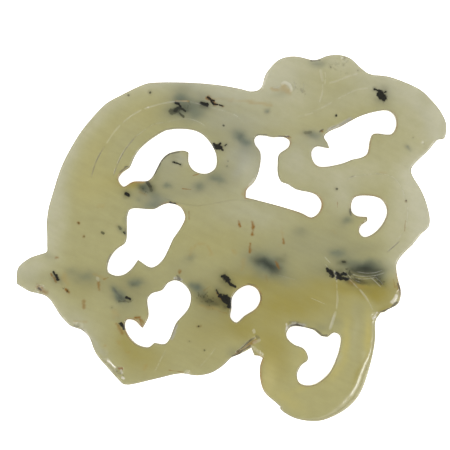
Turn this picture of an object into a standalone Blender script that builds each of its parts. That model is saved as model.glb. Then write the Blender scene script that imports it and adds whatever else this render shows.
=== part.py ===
"""An openwork jade plaque: one flat slab of nephrite, sawn to the outline of a coiled dragon and pierced eight times.

It lies on its flat back. All sizes are in millimetres until the mesh is made, which is in metres with +Z up.
"""

import bmesh
import bpy
import numpy as np
from mathutils import geometry

# Driving dimensions, in millimetres
THICKNESS = 4.5
PILLOW_WIDTH, PILLOW_DROP = 6.0, 0.35  # the slab thins this much over its outermost stretch
EDGE_WIDTH, EDGE_DROP = 1.1, 0.8  # the worn round of the upper edge: how far it reaches in, and how far it falls
FOOT_WIDTH, FOOT_RISE = 0.5, 0.4  # the small bevel round the flat back
LINE_HALF_WIDTH, LINE_DEPTH = 0.35, 0.25  # an ordinary incised line
TOLERANCE = 0.035  # how far a straight edge of the mesh may stray from the smooth outline
LONGEST_EDGE = 2.2
SIDE_MARGIN = 0.1  # the outlines' points follow the crest of the worn rim, and the slab's side stands this far outside it
INNER_GRID = 3.2  # spacing of the points that carry the nearly flat upper face
METRES = 0.001

SHARP = True  # marks a point where the outline turns a corner

# The outer edge, clockwise from the left shoulder, seen from above. The names follow the dragon's body.
BACK = [
    (-36.7, -2.6, SHARP), (-36.7, 0.4), (-36.8, 2.6), (-36.4, 6.0), (-35.3, 9.8), (-34.1, 13.6),
    (-32.5, 17.0), (-30.1, 21.0), (-27.8, 23.9), (-25.0, 26.8), (-22.0, 28.5), (-17.0, 30.8),
    (-15.0, 31.05), (-7.8, 31.0), (-2.2, 30.5), (2.2, 29.7), (3.8, 29.3), (5.6, 29.6),
]
HEAD = [
    (6.3, 30.5), (6.9, 32.5), (8.0, 34.1), (9.6, 35.6), (11.8, 36.25), (13.8, 36.15), (16.0, 35.6),
    (17.2, 35.6), (19.0, 36.3), (21.4, 36.6), (23.8, 35.9), (25.8, 34.1), (27.6, 32.8),
]
SNOUT = [
    (31.4, 32.25), (35.0, 31.0), (38.0, 29.5), (40.0, 27.6), (41.8, 25.4), (42.95, 22.8), (42.6, 20.0),
    (42.1, 19.85, SHARP), (41.35, 19.75), (39.15, 17.3), (37.0, 15.3), (36.0, 13.9), (36.1, 12.7),
]
BREAST = [
    (37.6, 10.2), (38.8, 7.6), (39.7, 3.8), (39.4, 2.2), (38.0, 0.9), (36.2, -1.3), (34.1, -3.4),
    (33.05, -5.2), (33.2, -7.6), (33.95, -11.0), (33.4, -13.05), (31.3, -14.25), (30.7, -14.7),
    (29.9, -14.85, SHARP),
]
TAIL_LOOP = [
    (28.85, -16.5), (28.8, -19.8), (28.3, -23.2), (26.8, -28.75), (25.4, -31.7), (23.1, -34.1),
    (20.0, -35.8), (17.2, -36.55), (13.0, -36.0), (10.4, -34.6), (9.9, -34.1, SHARP),
    (10.0, -33.7, SHARP), (8.4, -32.3), (6.8, -30.8), (6.0, -28.6), (5.9, -25.8), (6.45, -24.0, SHARP),
    (5.75, -23.5), (4.75, -23.4, SHARP), (4.1, -21.9, SHARP),
]
BELLY = [
    (1.8, -23.1), (0.0, -23.85), (-1.4, -25.2), (-3.8, -26.8), (-6.8, -27.4), (-10.0, -27.0),
    (-15.0, -28.05), (-20.4, -29.25), (-21.5, -29.15, SHARP),
]
FOOT = [
    (-24.15, -26.5), (-27.0, -22.9), (-28.4, -19.6), (-30.0, -18.2), (-32.0, -17.5), (-34.2, -15.2),
    (-36.0, -12.4), (-37.4, -11.3), (-40.2, -10.6), (-42.75, -9.1, SHARP), (-42.8, -7.4), (-42.4, -5.8),
    (-39.9, -3.9), (-37.0, -2.95),
]
OUTER_EDGE = BACK + HEAD + SNOUT + BREAST + TAIL_LOOP + BELLY + FOOT

OPENINGS = {
    "neck_arch": [
        (-22.65, 11.7), (-22.0, 13.0), (-20.4, 14.2, SHARP), (-18.9, 17.2), (-17.3, 18.9), (-15.0, 20.6),
        (-12.7, 21.75), (-8.0, 21.8), (-5.8, 20.95), (-3.9, 18.9), (-2.8, 16.3), (-3.1, 13.9),
        (-5.0, 12.8), (-7.4, 13.4), (-8.55, 15.0), (-8.6, 17.1, SHARP), (-9.4, 17.4), (-12.5, 16.8),
        (-14.0, 15.3), (-15.5, 12.4), (-16.6, 11.4), (-19.6, 11.2), (-21.5, 10.2),
    ],
    "throat": [
        (4.6, 19.8), (5.3, 20.6), (7.1, 20.55), (8.2, 20.3), (10.6, 20.3), (11.8, 19.5), (11.6, 18.2),
        (9.7, 16.7), (9.45, 15.0), (9.5, 12.8), (10.1, 11.4), (11.4, 10.9), (13.0, 9.9), (17.0, 8.8),
        (18.2, 7.0), (17.6, 5.0), (16.1, 4.05), (14.0, 4.95), (10.05, 6.2), (4.4, 7.7),
        (2.9, 8.05, SHARP), (3.0, 9.6), (4.7, 11.5), (5.7, 14.4), (5.75, 17.2), (4.8, 18.6),
    ],
    "mouth": [
        (18.5, 20.3), (19.6, 21.4), (22.0, 22.45), (25.6, 24.4), (28.8, 25.4), (31.5, 25.6),
        (32.9, 24.4), (33.1, 22.15), (32.05, 20.7), (28.5, 20.75), (27.9, 19.6), (27.3, 16.8),
        (25.8, 15.95), (24.2, 15.6), (22.4, 14.9), (17.8, 14.2), (16.5, 15.1), (16.0, 17.2),
        (17.0, 18.4), (19.6, 18.05, SHARP), (19.2, 19.0),
    ],
    "breast_comma": [
        (24.0, 7.0), (24.8, 8.3), (28.4, 8.5), (30.3, 7.7), (31.35, 5.35), (30.3, 2.6), (28.2, 0.6),
        (26.5, 0.15), (25.5, 1.3), (26.0, 2.7), (27.1, 3.5), (27.15, 4.15, SHARP), (25.2, 4.35), (24.1, 5.2),
    ],
    "flank": [
        (-20.9, 4.2), (-20.2, 5.85), (-15.35, 5.9), (-14.15, 6.55), (-12.6, 7.05), (-10.1, 6.3),
        (-9.1, 4.2), (-10.0, 2.0), (-11.5, -0.2), (-13.2, -3.8), (-14.6, -5.4), (-16.1, -5.95),
        (-18.6, -4.45, SHARP), (-19.4, -5.7), (-20.9, -7.1), (-22.8, -7.65), (-24.7, -6.8),
        (-24.5, -4.4), (-23.0, -2.2), (-21.2, -0.8), (-20.9, 2.0),
    ],
    "haunch": [
        (-11.2, -8.35), (-9.4, -9.1), (-8.0, -11.2), (-8.4, -14.0), (-11.0, -17.2), (-12.1, -20.0),
        (-13.15, -21.25), (-15.3, -21.1, SHARP), (-16.6, -21.95), (-19.3, -21.05), (-21.3, -18.0),
        (-20.9, -16.25), (-19.2, -16.4), (-17.7, -17.9, SHARP), (-16.6, -15.6), (-16.8, -12.2),
        (-15.9, -11.0), (-13.8, -10.3), (-12.8, -9.0),
    ],
    "belly_hole": [
        (0.1, -12.0), (1.2, -10.4), (3.4, -9.35), (5.2, -10.1), (5.95, -12.05), (5.15, -14.0),
        (2.75, -15.65), (1.05, -17.0), (-0.2, -15.9), (0.0, -14.0),
    ],
    "tail_coil": [
        (11.0, -19.0), (11.8, -17.85), (13.0, -17.55), (16.6, -18.3), (18.1, -19.5), (19.3, -19.65, SHARP),
        (20.6, -18.8), (21.9, -19.5), (22.0, -21.2), (21.0, -24.6), (19.6, -27.2), (17.1, -29.2),
        (15.2, -29.6), (13.6, -29.0), (13.1, -27.2), (14.0, -25.35), (15.3, -24.2), (14.6, -22.3),
        (12.6, -21.4), (11.2, -20.1),
    ],
}

# The incised lines: (points, half width, depth)
ORDINARY = (LINE_HALF_WIDTH, LINE_DEPTH)
INCISED = {
    "spine": (
        [(-28.0, 12.0), (-26.2, 16.8), (-23.6, 20.9), (-20.8, 23.8), (-16.4, 26.0), (-11.6, 27.3),
         (-8.0, 27.4), (-3.5, 26.2), (0.8, 24.6), (3.3, 22.5)], *ORDINARY),
    "neck": (
        [(-23.6, 12.4), (-22.0, 16.0), (-19.2, 19.9), (-15.8, 22.6), (-10.5, 23.7), (-5.0, 22.5)], *ORDINARY),
    "eye": ([(8.0, 30.1), (9.6, 30.3), (10.4, 31.1), (11.9, 30.3), (11.9, 29.0)], *ORDINARY),
    "horn": ([(18.3, 33.5), (18.5, 30.4), (17.6, 26.6)], *ORDINARY),
    "ear": ([(19.3, 31.0), (22.4, 31.9), (26.4, 33.0)], *ORDINARY),
    "cheek": ([(13.0, 24.2), (18.0, 26.2), (22.4, 28.3), (28.0, 30.0)], *ORDINARY),
    "shoulder": (
        [(22.6, 11.0), (24.6, 12.3), (30.4, 12.8), (33.4, 11.2), (35.2, 6.6), (34.9, 2.2), (31.2, -2.6)],
        *ORDINARY),
    "tail_inner": ([(20.8, -6.8), (21.3, -10.0), (21.1, -14.4), (19.6, -18.4)], *ORDINARY),
    "tail_outer": ([(18.5, -3.5), (21.2, -6.4), (25.4, -9.8), (28.6, -14.6)], *ORDINARY),
    "saw_cut": ([(2.2, -21.9), (3.7, -20.6), (5.4, -19.6)], 0.35, 0.4),
}

# Stretches of edge that were left slanting, chipped or worn rounder: (x, y, reach, extra width, extra drop)
SLANTED_EDGES = [
    (17.5, -25.5, 18.0, 0.7, 0.5),  # the tail loop is polished rounder than the slab
    (-24.0, -25.6, 5.0, 0.5, 0.5),
    (33.0, -11.0, 5.0, 0.5, 0.5),
    (12.8, -17.2, 3.0, 0.2, 2.0),
    (21.4, 22.8, 3.4, 0.2, 1.8),
    (3.2, -22.0, 2.2, 0.4, 1.4),
    (-10.7, -7.9, 1.8, 0.6, 1.4),
    (-11.7, -18.6, 2.4, 0.1, 1.4),
]


def smooth_spans(points):
    """The closed curve through the points, as one cubic for each span: start, two handles, end.

    A point's handles lie along a mean of the chords on its two sides, each weighted by the root of the other's
    length, and a SHARP point keeps a chord for each side.
    """
    start = np.array([p[:2] for p in points], float)
    sharp = np.array([len(p) > 2 for p in points])[:, None]
    after = np.roll(start, -1, axis=0) - start
    pace = np.sqrt(np.linalg.norm(after, axis=1, keepdims=True))
    before, pace_before = np.roll(after, 1, axis=0), np.roll(pace, 1, axis=0)
    lean = (before / pace_before * pace + after / pace * pace_before) / (pace_before + pace)
    leaving = np.where(sharp, after / pace, lean)
    arriving = np.roll(np.where(sharp, before / pace_before, lean), -1, axis=0)
    end = np.roll(start, -1, axis=0)
    return np.stack([start, start + leaving * pace / 3, end - arriving * pace / 3, end], axis=1)


def sampled(span, longest):
    """Points along a cubic from its start, without its end: more where it bends or is long."""
    a, b, c, d = span
    chord = d - a
    length = np.linalg.norm(chord)
    across = np.array([-chord[1], chord[0]]) / length
    sag = 0.75 * max(abs((b - a) @ across), abs((c - a) @ across))
    count = max(1, int(np.ceil(length / longest)), int(np.ceil(np.sqrt(sag / TOLERANCE))))
    t = np.arange(count)[:, None] / count
    return (1 - t) ** 3 * a + 3 * (1 - t) ** 2 * t * b + 3 * (1 - t) * t**2 * c + t**3 * d


def closed_outline(points, longest=LONGEST_EDGE):
    return np.concatenate([sampled(span, longest) for span in smooth_spans(points)])


def open_line(points, longest=LONGEST_EDGE):
    """The smooth line from the first point to the last, with its last point."""
    ends_sharp = [(*points[0], SHARP), *points[1:-1], (*points[-1], SHARP)]
    spans = smooth_spans(ends_sharp)[:-1]
    return np.concatenate([*(sampled(span, longest) for span in spans), [points[-1]]])


def distance_to(points, starts, ends):
    """How far each point is from the nearest of the straight pieces, and how far along that piece it lies."""
    along = ends - starts
    offset = points[:, None] - starts[None]
    share = np.clip((offset * along).sum(-1) / (along**2).sum(-1), 0, 1)
    gaps = np.linalg.norm(offset - share[..., None] * along, axis=-1)
    nearest = gaps.argmin(axis=1)
    rows = np.arange(len(points))
    return gaps[rows, nearest], nearest + share[rows, nearest]


def inside(points, loops):
    """True where a ray to +X crosses the loops an odd number of times."""
    crossings = np.zeros(len(points), int)
    for loop in loops:
        a, b = loop, np.roll(loop, -1, axis=0)
        x, y = points[:, :1], points[:, 1:]
        spans = (a[:, 1] > y) != (b[:, 1] > y)
        rise = np.where(a[:, 1] == b[:, 1], 1.0, b[:, 1] - a[:, 1])
        crossings += (spans & (x < a[:, 0] + (y - a[:, 1]) * (b[:, 0] - a[:, 0]) / rise)).sum(axis=1)
    return crossings % 2 == 1


def into_stone(loop, loops):
    """At each corner of one loop, the unit direction that leads into the stone."""
    along = np.roll(loop, -1, axis=0) - np.roll(loop, 1, axis=0)
    along /= np.linalg.norm(along, axis=1, keepdims=True)
    side = np.stack([along[:, 1], -along[:, 0]], axis=1)
    return np.where(inside(loop + 0.05 * side, loops)[:, None], side, -side)


class Slab:
    """The plaque's plan, and the heights of its two faces over any point of it."""

    def __init__(self):
        crests = [closed_outline(OUTER_EDGE), *map(closed_outline, OPENINGS.values())]
        self.loops = [crest - SIDE_MARGIN * into_stone(crest, crests) for crest in crests]
        corners = np.concatenate(self.loops)
        self.middle = (corners.min(axis=0) + corners.max(axis=0)) / 2
        self.rim = corners
        self.rim_ends = np.concatenate([np.roll(loop, -1, axis=0) for loop in self.loops])
        self.lines = [(open_line(points), half_width, depth) for points, half_width, depth in INCISED.values()]

    def edge_size(self, points):
        """The width and the drop of the edge's round near each point."""
        width = np.full(len(points), EDGE_WIDTH)
        drop = np.full(len(points), EDGE_DROP)
        for x, y, reach, more_width, more_drop in SLANTED_EDGES:
            gap = np.linalg.norm(points - (x, y), axis=1)
            share = np.clip(2 - 2 * gap / reach, 0, 1) ** 2  # whole out to half the reach, then falling to nothing
            width += share * more_width
            drop += share * more_drop
        return width, drop

    def from_rim(self, points):
        return distance_to(points, self.rim, self.rim_ends)[0]

    def top(self, points):
        """The upper face: the thickness, less the outer thinning, a quarter of an ellipse on every edge and the lines."""
        width, drop = self.edge_size(points)
        inward = np.clip(self.from_rim(points) / width, 0, 1)
        outer = self.loops[0]
        from_outer = distance_to(points, outer, np.roll(outer, -1, axis=0))[0]
        height = THICKNESS - PILLOW_DROP * np.clip(1 - from_outer / PILLOW_WIDTH, 0, 1) ** 2
        height -= drop * (1 - np.sqrt(1 - (1 - inward) ** 2))
        for line, half_width, depth in self.lines:
            gap, place = distance_to(points, line[:-1], line[1:])
            fade = np.clip(np.minimum(place, len(line) - 1 - place), 0, 1)  # it runs out over its last stretch
            height -= depth * fade * np.clip(1 - gap / half_width, 0, 1)
        return height

    def back(self, points):
        """The underside: flat, with a small bevel along every edge."""
        return FOOT_RISE * np.clip(1 - self.from_rim(points) / FOOT_WIDTH, 0, 1)

    def ring(self, share_of_edge):
        """The outlines moved in by a share of the edge's width, without what would crowd another edge."""
        inner = []
        for loop in self.loops:
            reach = share_of_edge * self.edge_size(loop)[0][:, None]
            moved = loop + reach * into_stone(loop, self.loops)
            clear = self.from_rim(moved) > 0.93 * reach[:, 0]
            inner.append(moved[clear & inside(moved, self.loops)])
        return np.concatenate(inner)


def spread(points, taken, apart):
    """The points that keep this far from those already taken."""
    gaps = np.linalg.norm(points[:, None] - taken[None], axis=-1)
    return points[gaps.min(axis=1) > apart]


def line_beds(slab):
    """Each incised line's middle and its two brinks, as rows of points with the edges that join them."""
    points, edges = [], []
    for line, half_width, _ in slab.lines:
        along = np.gradient(line, axis=0)
        along /= np.linalg.norm(along, axis=1, keepdims=True)
        side = np.stack([-along[:, 1], along[:, 0]], axis=1) * half_width
        for row in (line, (line + side)[1:-1], (line - side)[1:-1]):
            first = sum(map(len, points))
            points.append(row)
            edges += [(first + i, first + i + 1) for i in range(len(row) - 1)]
    return np.concatenate(points), edges


def triangles(slab, inner, inner_edges):
    """The plan cut into triangles: (points, triangles, the new index of each rim point)."""
    plan = np.concatenate([slab.rim, inner])
    edges, first = [], 0
    for loop in slab.loops:
        edges += [(first + i, first + (i + 1) % len(loop)) for i in range(len(loop))]
        first += len(loop)
    edges += [(first + a, first + b) for a, b in inner_edges]
    points, _, faces, came_from, _, _ = geometry.delaunay_2d_cdt(plan.tolist(), edges, [], 0, 1e-5)
    points = np.array([tuple(p) for p in points])
    faces = np.array([tuple(f) for f in faces])
    new_index = np.zeros(len(plan), int)
    for new, olds in enumerate(came_from):
        new_index[list(olds)] = new
    faces = faces[inside(points[faces].mean(axis=1), slab.loops)]
    return points, faces, new_index[: len(slab.rim)]


def upper_points(slab):
    """What the upper face needs inside its rim: the edge's round, the lines' beds and a coarse grid."""
    beds, bed_edges = line_beds(slab)
    rings = spread(np.concatenate([slab.ring(0.3), slab.ring(1.0)]), beds, 0.3)
    low, high = slab.rim.min(axis=0), slab.rim.max(axis=0)
    x, y = np.meshgrid(np.arange(low[0], high[0], INNER_GRID), np.arange(low[1], high[1], INNER_GRID * 0.87))
    x[1::2] += INNER_GRID / 2
    grid = np.stack([x.ravel(), y.ravel()], axis=1)
    grid = grid[inside(grid, slab.loops)]
    grid = grid[slab.from_rim(grid) > EDGE_WIDTH + 1.0]
    grid = spread(grid, np.concatenate([beds, rings]), 0.45 * INNER_GRID)
    return np.concatenate([beds, rings, grid]), bed_edges


def plaque_mesh(slab):
    """The closed skin: the upper face, the back and the wall between their rims."""
    top_points, top_faces, top_rim = triangles(slab, *upper_points(slab))
    back_points, back_faces, back_rim = triangles(slab, slab.ring(FOOT_WIDTH / EDGE_WIDTH), [])
    top = np.column_stack([top_points - slab.middle, slab.top(top_points)])
    back = np.column_stack([back_points - slab.middle, slab.back(back_points)])
    bm = bmesh.new()
    corners = [bm.verts.new(p) for p in np.concatenate([top, back]) * METRES]
    for a, b, c in top_faces:
        bm.faces.new((corners[a], corners[b], corners[c]))
    for a, b, c in back_faces + len(top):
        bm.faces.new((corners[c], corners[b], corners[a]))
    first = 0
    for loop in slab.loops:
        here = np.arange(first, first + len(loop))
        for i, j in zip(here, np.roll(here, -1)):
            bm.faces.new([corners[k] for k in (top_rim[i], top_rim[j], back_rim[j] + len(top), back_rim[i] + len(top))])
        first += len(loop)
    bmesh.ops.recalc_face_normals(bm, faces=bm.faces)
    mesh = bpy.data.meshes.new("jade_plaque")
    bm.to_mesh(mesh)
    bm.free()
    mesh.shade_smooth()
    mesh.set_sharp_from_angle(angle=np.radians(35))
    return mesh


def linear(hex_colour):
    """An sRGB hex colour as linear red, green, blue and alpha."""
    srgb = np.array([int(hex_colour[i : i + 2], 16) for i in (1, 3, 5)]) / 255
    return (*np.where(srgb <= 0.04045, srgb / 12.92, ((srgb + 0.055) / 1.055) ** 2.4), 1.0)


def nephrite():
    """Pale green nephrite, polished by hand."""
    material = bpy.data.materials.new("nephrite")
    material.use_nodes = True
    shader = material.node_tree.nodes["Principled BSDF"]
    shader.inputs["Base Color"].default_value = linear("#b9b88f")
    shader.inputs["Roughness"].default_value = 0.25
    shader.inputs["Metallic"].default_value = 0.0
    shader.inputs["IOR"].default_value = 1.61
    return material


def main():
    for obj in list(bpy.data.objects):
        bpy.data.objects.remove(obj, do_unlink=True)
    mesh = plaque_mesh(Slab())
    mesh.materials.append(nephrite())
    plaque = bpy.data.objects.new("jade_plaque", mesh)
    bpy.context.scene.collection.objects.link(plaque)


main()
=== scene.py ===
# %% [markdown]
# # An openwork jade carving
# The object is one flat slab of pale green nephrite. A carver sawed it to the outline of a coiled dragon,
# drilled and sawed eight openings through it, cut thin lines into its face with a wheel and polished it by
# hand. It lies on its flat back and is seen from straight above. This lesson builds its skin and its stone.

# %% Load the fixed model
import math

import bpy
import numpy as np
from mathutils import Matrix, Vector, geometry


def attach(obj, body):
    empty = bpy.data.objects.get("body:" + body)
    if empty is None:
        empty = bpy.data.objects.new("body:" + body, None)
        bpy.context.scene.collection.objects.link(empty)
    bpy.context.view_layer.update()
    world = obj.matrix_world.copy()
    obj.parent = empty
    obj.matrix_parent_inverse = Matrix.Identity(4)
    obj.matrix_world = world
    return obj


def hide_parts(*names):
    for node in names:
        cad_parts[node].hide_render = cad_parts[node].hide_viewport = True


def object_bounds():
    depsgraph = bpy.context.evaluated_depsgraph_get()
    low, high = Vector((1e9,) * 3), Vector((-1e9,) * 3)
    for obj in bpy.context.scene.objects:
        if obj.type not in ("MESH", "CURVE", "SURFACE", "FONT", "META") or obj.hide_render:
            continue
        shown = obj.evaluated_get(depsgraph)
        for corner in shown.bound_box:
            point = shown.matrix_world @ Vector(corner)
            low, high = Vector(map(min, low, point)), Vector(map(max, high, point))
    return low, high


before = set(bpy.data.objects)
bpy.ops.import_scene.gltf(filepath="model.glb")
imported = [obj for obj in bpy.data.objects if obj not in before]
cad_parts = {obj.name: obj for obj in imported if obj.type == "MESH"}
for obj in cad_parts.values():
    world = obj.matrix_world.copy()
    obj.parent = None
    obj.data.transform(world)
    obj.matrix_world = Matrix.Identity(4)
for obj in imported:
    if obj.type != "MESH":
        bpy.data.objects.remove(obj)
CAD_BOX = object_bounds()
SLAB = "jade_plaque"
MM = 0.001
print("nodes", list(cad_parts), "box", CAD_BOX)

# %% [markdown]
# ## The plan
# Everything about this carving follows its plan, the shape seen from above. The solid already holds the
# plan: the wall round the slab and round each opening stands upright, so its lowest edges, taken end to end,
# are the nine outlines. They could be typed in again as points, but then the skin and the solid could drift
# apart. So they are read back from the solid, and a smooth curve is laid through them.

# %% Read the outlines from the solid's wall
FOOT_RISE = 0.4  # mm, where the wall meets the small bevel round the back
SAME_POINT = 1e-3  # mm
SAME_LEVEL = 0.01  # mm
UPRIGHT = 0.02  # a wall's normal has less than this share of it along Z


def merged_triangles(obj):
    """The object's triangles in millimetres, with corners at one place made one: (points, triangles)."""
    mesh = obj.data
    mesh.calc_loop_triangles()
    points = np.empty(len(mesh.vertices) * 3)
    mesh.vertices.foreach_get("co", points)
    faces = np.empty(len(mesh.loop_triangles) * 3, int)
    mesh.loop_triangles.foreach_get("vertices", faces)
    points = points.reshape(-1, 3) / MM
    _, first, index = np.unique(
        np.round(points / SAME_POINT).astype(int), axis=0, return_index=True, return_inverse=True
    )
    return points[first], index.reshape(-1)[faces].reshape(-1, 3)


def wall_foot_loops(points, faces):
    """The closed chains of edges that lie at the wall's foot, each as rows of x and y."""
    a, b, c = (points[faces[:, k]] for k in range(3))
    normal = np.cross(b - a, c - a)
    upright = abs(normal[:, 2]) < UPRIGHT * np.linalg.norm(normal, axis=1)
    wall = faces[upright]
    ends = np.concatenate([wall[:, [0, 1]], wall[:, [1, 2]], wall[:, [2, 0]]])
    low = np.abs(points[ends][:, :, 2] - FOOT_RISE).max(axis=1) < SAME_LEVEL
    follows = dict(ends[low].tolist())
    loops = []
    while follows:
        start, here = follows.popitem()
        chain = [start]
        while here != start:
            chain.append(here)
            here = follows.pop(here)
        loops.append(points[chain][:, :2])
    return sorted(loops, key=len, reverse=True)


SOLID_LOOPS = wall_foot_loops(*merged_triangles(bpy.data.objects[SLAB]))
print("outlines", [len(loop) for loop in SOLID_LOOPS])

# %% Lay a smooth curve through each outline
CORNER = math.radians(48)  # the outline turns a true corner where it bends more than this at one point
RIM_STEP = 0.32  # mm between points of the finished rim


def smooth_closed(points, step):
    """A closed curve through the points, as rows about a step apart.

    Between two points it is a cubic. Its end directions lean along the mean of the two neighbouring chords,
    each weighted by the root of the other's length, and at a true corner each side keeps its own chord.
    """
    after = np.roll(points, -1, axis=0) - points
    pace = np.sqrt(np.linalg.norm(after, axis=1, keepdims=True))
    before, pace_before = np.roll(after, 1, axis=0), np.roll(pace, 1, axis=0)
    cosine = (before * after).sum(axis=1, keepdims=True) / (pace * pace_before) ** 2
    sharp = cosine < math.cos(CORNER)
    lean = (before / pace_before * pace + after / pace * pace_before) / (pace_before + pace)
    leaving = np.where(sharp, after / pace, lean)
    arriving = np.roll(np.where(sharp, before / pace_before, lean), -1, axis=0)
    end = np.roll(points, -1, axis=0)
    handles = np.stack([points, points + leaving * pace / 3, end - arriving * pace / 3, end], axis=1)
    counts = np.maximum(1, np.round(pace[:, 0] ** 2 / step)).astype(int)
    span = np.repeat(np.arange(len(points)), counts)
    t = ((np.arange(len(span)) - np.repeat(np.cumsum(counts) - counts, counts)) / counts[span])[:, None]
    a, b, c, d = (handles[span, k] for k in range(4))
    return (1 - t) ** 3 * a + 3 * (1 - t) ** 2 * t * b + 3 * (1 - t) * t**2 * c + t**3 * d


LOOPS = [smooth_closed(loop, RIM_STEP) for loop in SOLID_LOOPS]
OUTER, RIM = LOOPS[0], np.concatenate(LOOPS)
numbers = np.split(np.arange(len(RIM)), np.cumsum([len(loop) for loop in LOOPS])[:-1])
AFTER = np.concatenate([np.roll(part, -1) for part in numbers])  # number of the next point on the outline
RIM_NEXT = RIM[AFTER]
print("rim points", len(RIM), "outline length", round(np.linalg.norm(RIM_NEXT - RIM, axis=1).sum()), "mm")

# %% [markdown]
# ## Distances
# A worn edge, a cut line and a stain all depend on one thing: how far a place is from a line in the plan.
# One function measures that for whole arrays of places at once, in slices so that it needs little memory.

# %% Distance to lines, inside or outside, and smooth noise
SLICE = 1500  # places measured at once
LEAST_LENGTH2 = 1e-12  # mm2, for a piece whose two ends are one point


def distance_to(places, starts, ends):
    """Each place's distance to the nearest straight piece, and its position there as piece number + share."""
    along = ends - starts
    length2 = np.maximum((along**2).sum(axis=1), LEAST_LENGTH2)
    gaps, where = np.empty(len(places)), np.empty(len(places))
    for first in range(0, len(places), SLICE):
        part = slice(first, first + SLICE)
        dx = places[part, :1] - starts[:, 0]
        dy = places[part, 1:] - starts[:, 1]
        share = np.clip((dx * along[:, 0] + dy * along[:, 1]) / length2, 0, 1)
        gap2 = (dx - share * along[:, 0]) ** 2 + (dy - share * along[:, 1]) ** 2
        nearest = gap2.argmin(axis=1)
        rows = np.arange(len(nearest))
        gaps[part] = np.sqrt(gap2[rows, nearest])
        where[part] = nearest + share[rows, nearest]
    return gaps, where


def from_loop(places, loop):
    """Each place's distance to one closed outline."""
    return distance_to(places, loop, np.roll(loop, -1, axis=0))[0]


def inside(places):
    """True where a ray towards +X crosses the outlines an odd number of times."""
    found = np.empty(len(places), bool)
    rise = np.where(RIM[:, 1] == RIM_NEXT[:, 1], 1.0, RIM_NEXT[:, 1] - RIM[:, 1])
    slope = (RIM_NEXT[:, 0] - RIM[:, 0]) / rise
    for first in range(0, len(places), SLICE):
        x, y = places[first : first + SLICE, :1], places[first : first + SLICE, 1:]
        crossed = ((RIM[:, 1] > y) != (RIM_NEXT[:, 1] > y)) & (x < RIM[:, 0] + (y - RIM[:, 1]) * slope)
        found[first : first + SLICE] = crossed.sum(axis=1) % 2
    return found


LATTICE_SIDE = 64  # the noise repeats after so many cells
LATTICE = np.random.default_rng(7).random((LATTICE_SIDE, LATTICE_SIDE))
SEED_SHIFT = 17.3  # cells between two seeds' starts, so that they read the lattice at different places


def noise(places, size, seed=0):
    """Smooth random numbers from -1 to 1: a lattice of values, size in mm apart, eased between neighbours."""
    u = places / size + SEED_SHIFT * seed
    cell = np.floor(u).astype(int)
    t = u - cell
    t = t * t * (3 - 2 * t)
    x0, y0 = (cell % LATTICE_SIDE).T
    x1, y1 = (x0 + 1) % LATTICE_SIDE, (y0 + 1) % LATTICE_SIDE
    low = LATTICE[x0, y0] * (1 - t[:, 0]) + LATTICE[x1, y0] * t[:, 0]
    high = LATTICE[x0, y1] * (1 - t[:, 0]) + LATTICE[x1, y1] * t[:, 0]
    return 2 * (low * (1 - t[:, 1]) + high * t[:, 1]) - 1


def rough_noise(places, size, seed=0):
    """Three layers of noise, each half as large and half as strong as the one before."""
    return sum(0.5**k * noise(places, size * 0.5**k, seed + k) for k in range(3)) / 1.75


def ease(value, low, high):
    """0 below low, 1 above high, and a smooth S between."""
    t = np.clip((value - low) / (high - low), 0, 1)
    return t * t * (3 - 2 * t)


# %% [markdown]
# ## The relief
# The face is nearly flat. The slab thins a little towards its outer edge, every edge is worn round, some
# edges were left slanting by the saw or have lost a chip, and thin lines are cut into the face with a wheel
# fed by hand. The relief could be a displacement in the material, but then it would be no part of the mesh.
# So it is worked out as one height over the plan.

# %% What the carver cut and what time wore away
THICKNESS = (CAD_BOX[1][2] - CAD_BOX[0][2]) / MM
PLAN_ZERO = np.array([-0.09, -0.02])  # where the drawing of the lines has its zero, in the part's frame
PILLOW_WIDTH, PILLOW_DROP = 6.0, 0.35  # mm, how far in from the outer edge the slab thins, and by how much
EDGE_WIDTH, EDGE_DROP = 0.40, 0.36  # mm, the round of an ordinary edge
FOOT_WIDTH = 0.5  # mm, the bevel round the back
WEAR = [(0.030, 7.0, 1), (0.010, 2.3, 2)]  # swells left by hand polishing: (height, size, seed)
WEAR_SINK = 0.03  # mm, so that no swell stands above the slab
WEAR_START, WEAR_FULL = 0.2, 2.0  # mm from the rim
INNER = np.concatenate(LOOPS[1:])
INNER_NEXT = RIM_NEXT[len(OUTER):]

# Stretches of the outer edge that are worn rounder: (x, y, reach, extra width, extra drop)
ROUNDED = [
    (24.4, -31.2, 9.4, 0.75, 0.57), (26.3, -29.8, 9, 0.6, 0.47), (27.2, -27, 9, 0.55, 0.4),
    (20.5, -35, 8, 0.55, 0.4), (-23.7, -25.2, 3, 1.5, 1.25), (33.2, -11.8, 2.1, 0.9, 0.75),
    (28.2, -19, 4, 0.6, 0.25), (3, -22.2, 2.2, 0.5, 1),
]
# Walls of openings that the saw left slanting: the same five numbers
SLANTED = [
    (12.8, -17.2, 2.8, 0.35, 1.6), (21.6, 22.9, 3.6, 0.5, 1.5), (-10.5, -7.7, 1.3, 0.6, 1.3),
    (-11.7, -18.6, 2.2, 0.15, 1),
]

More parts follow.
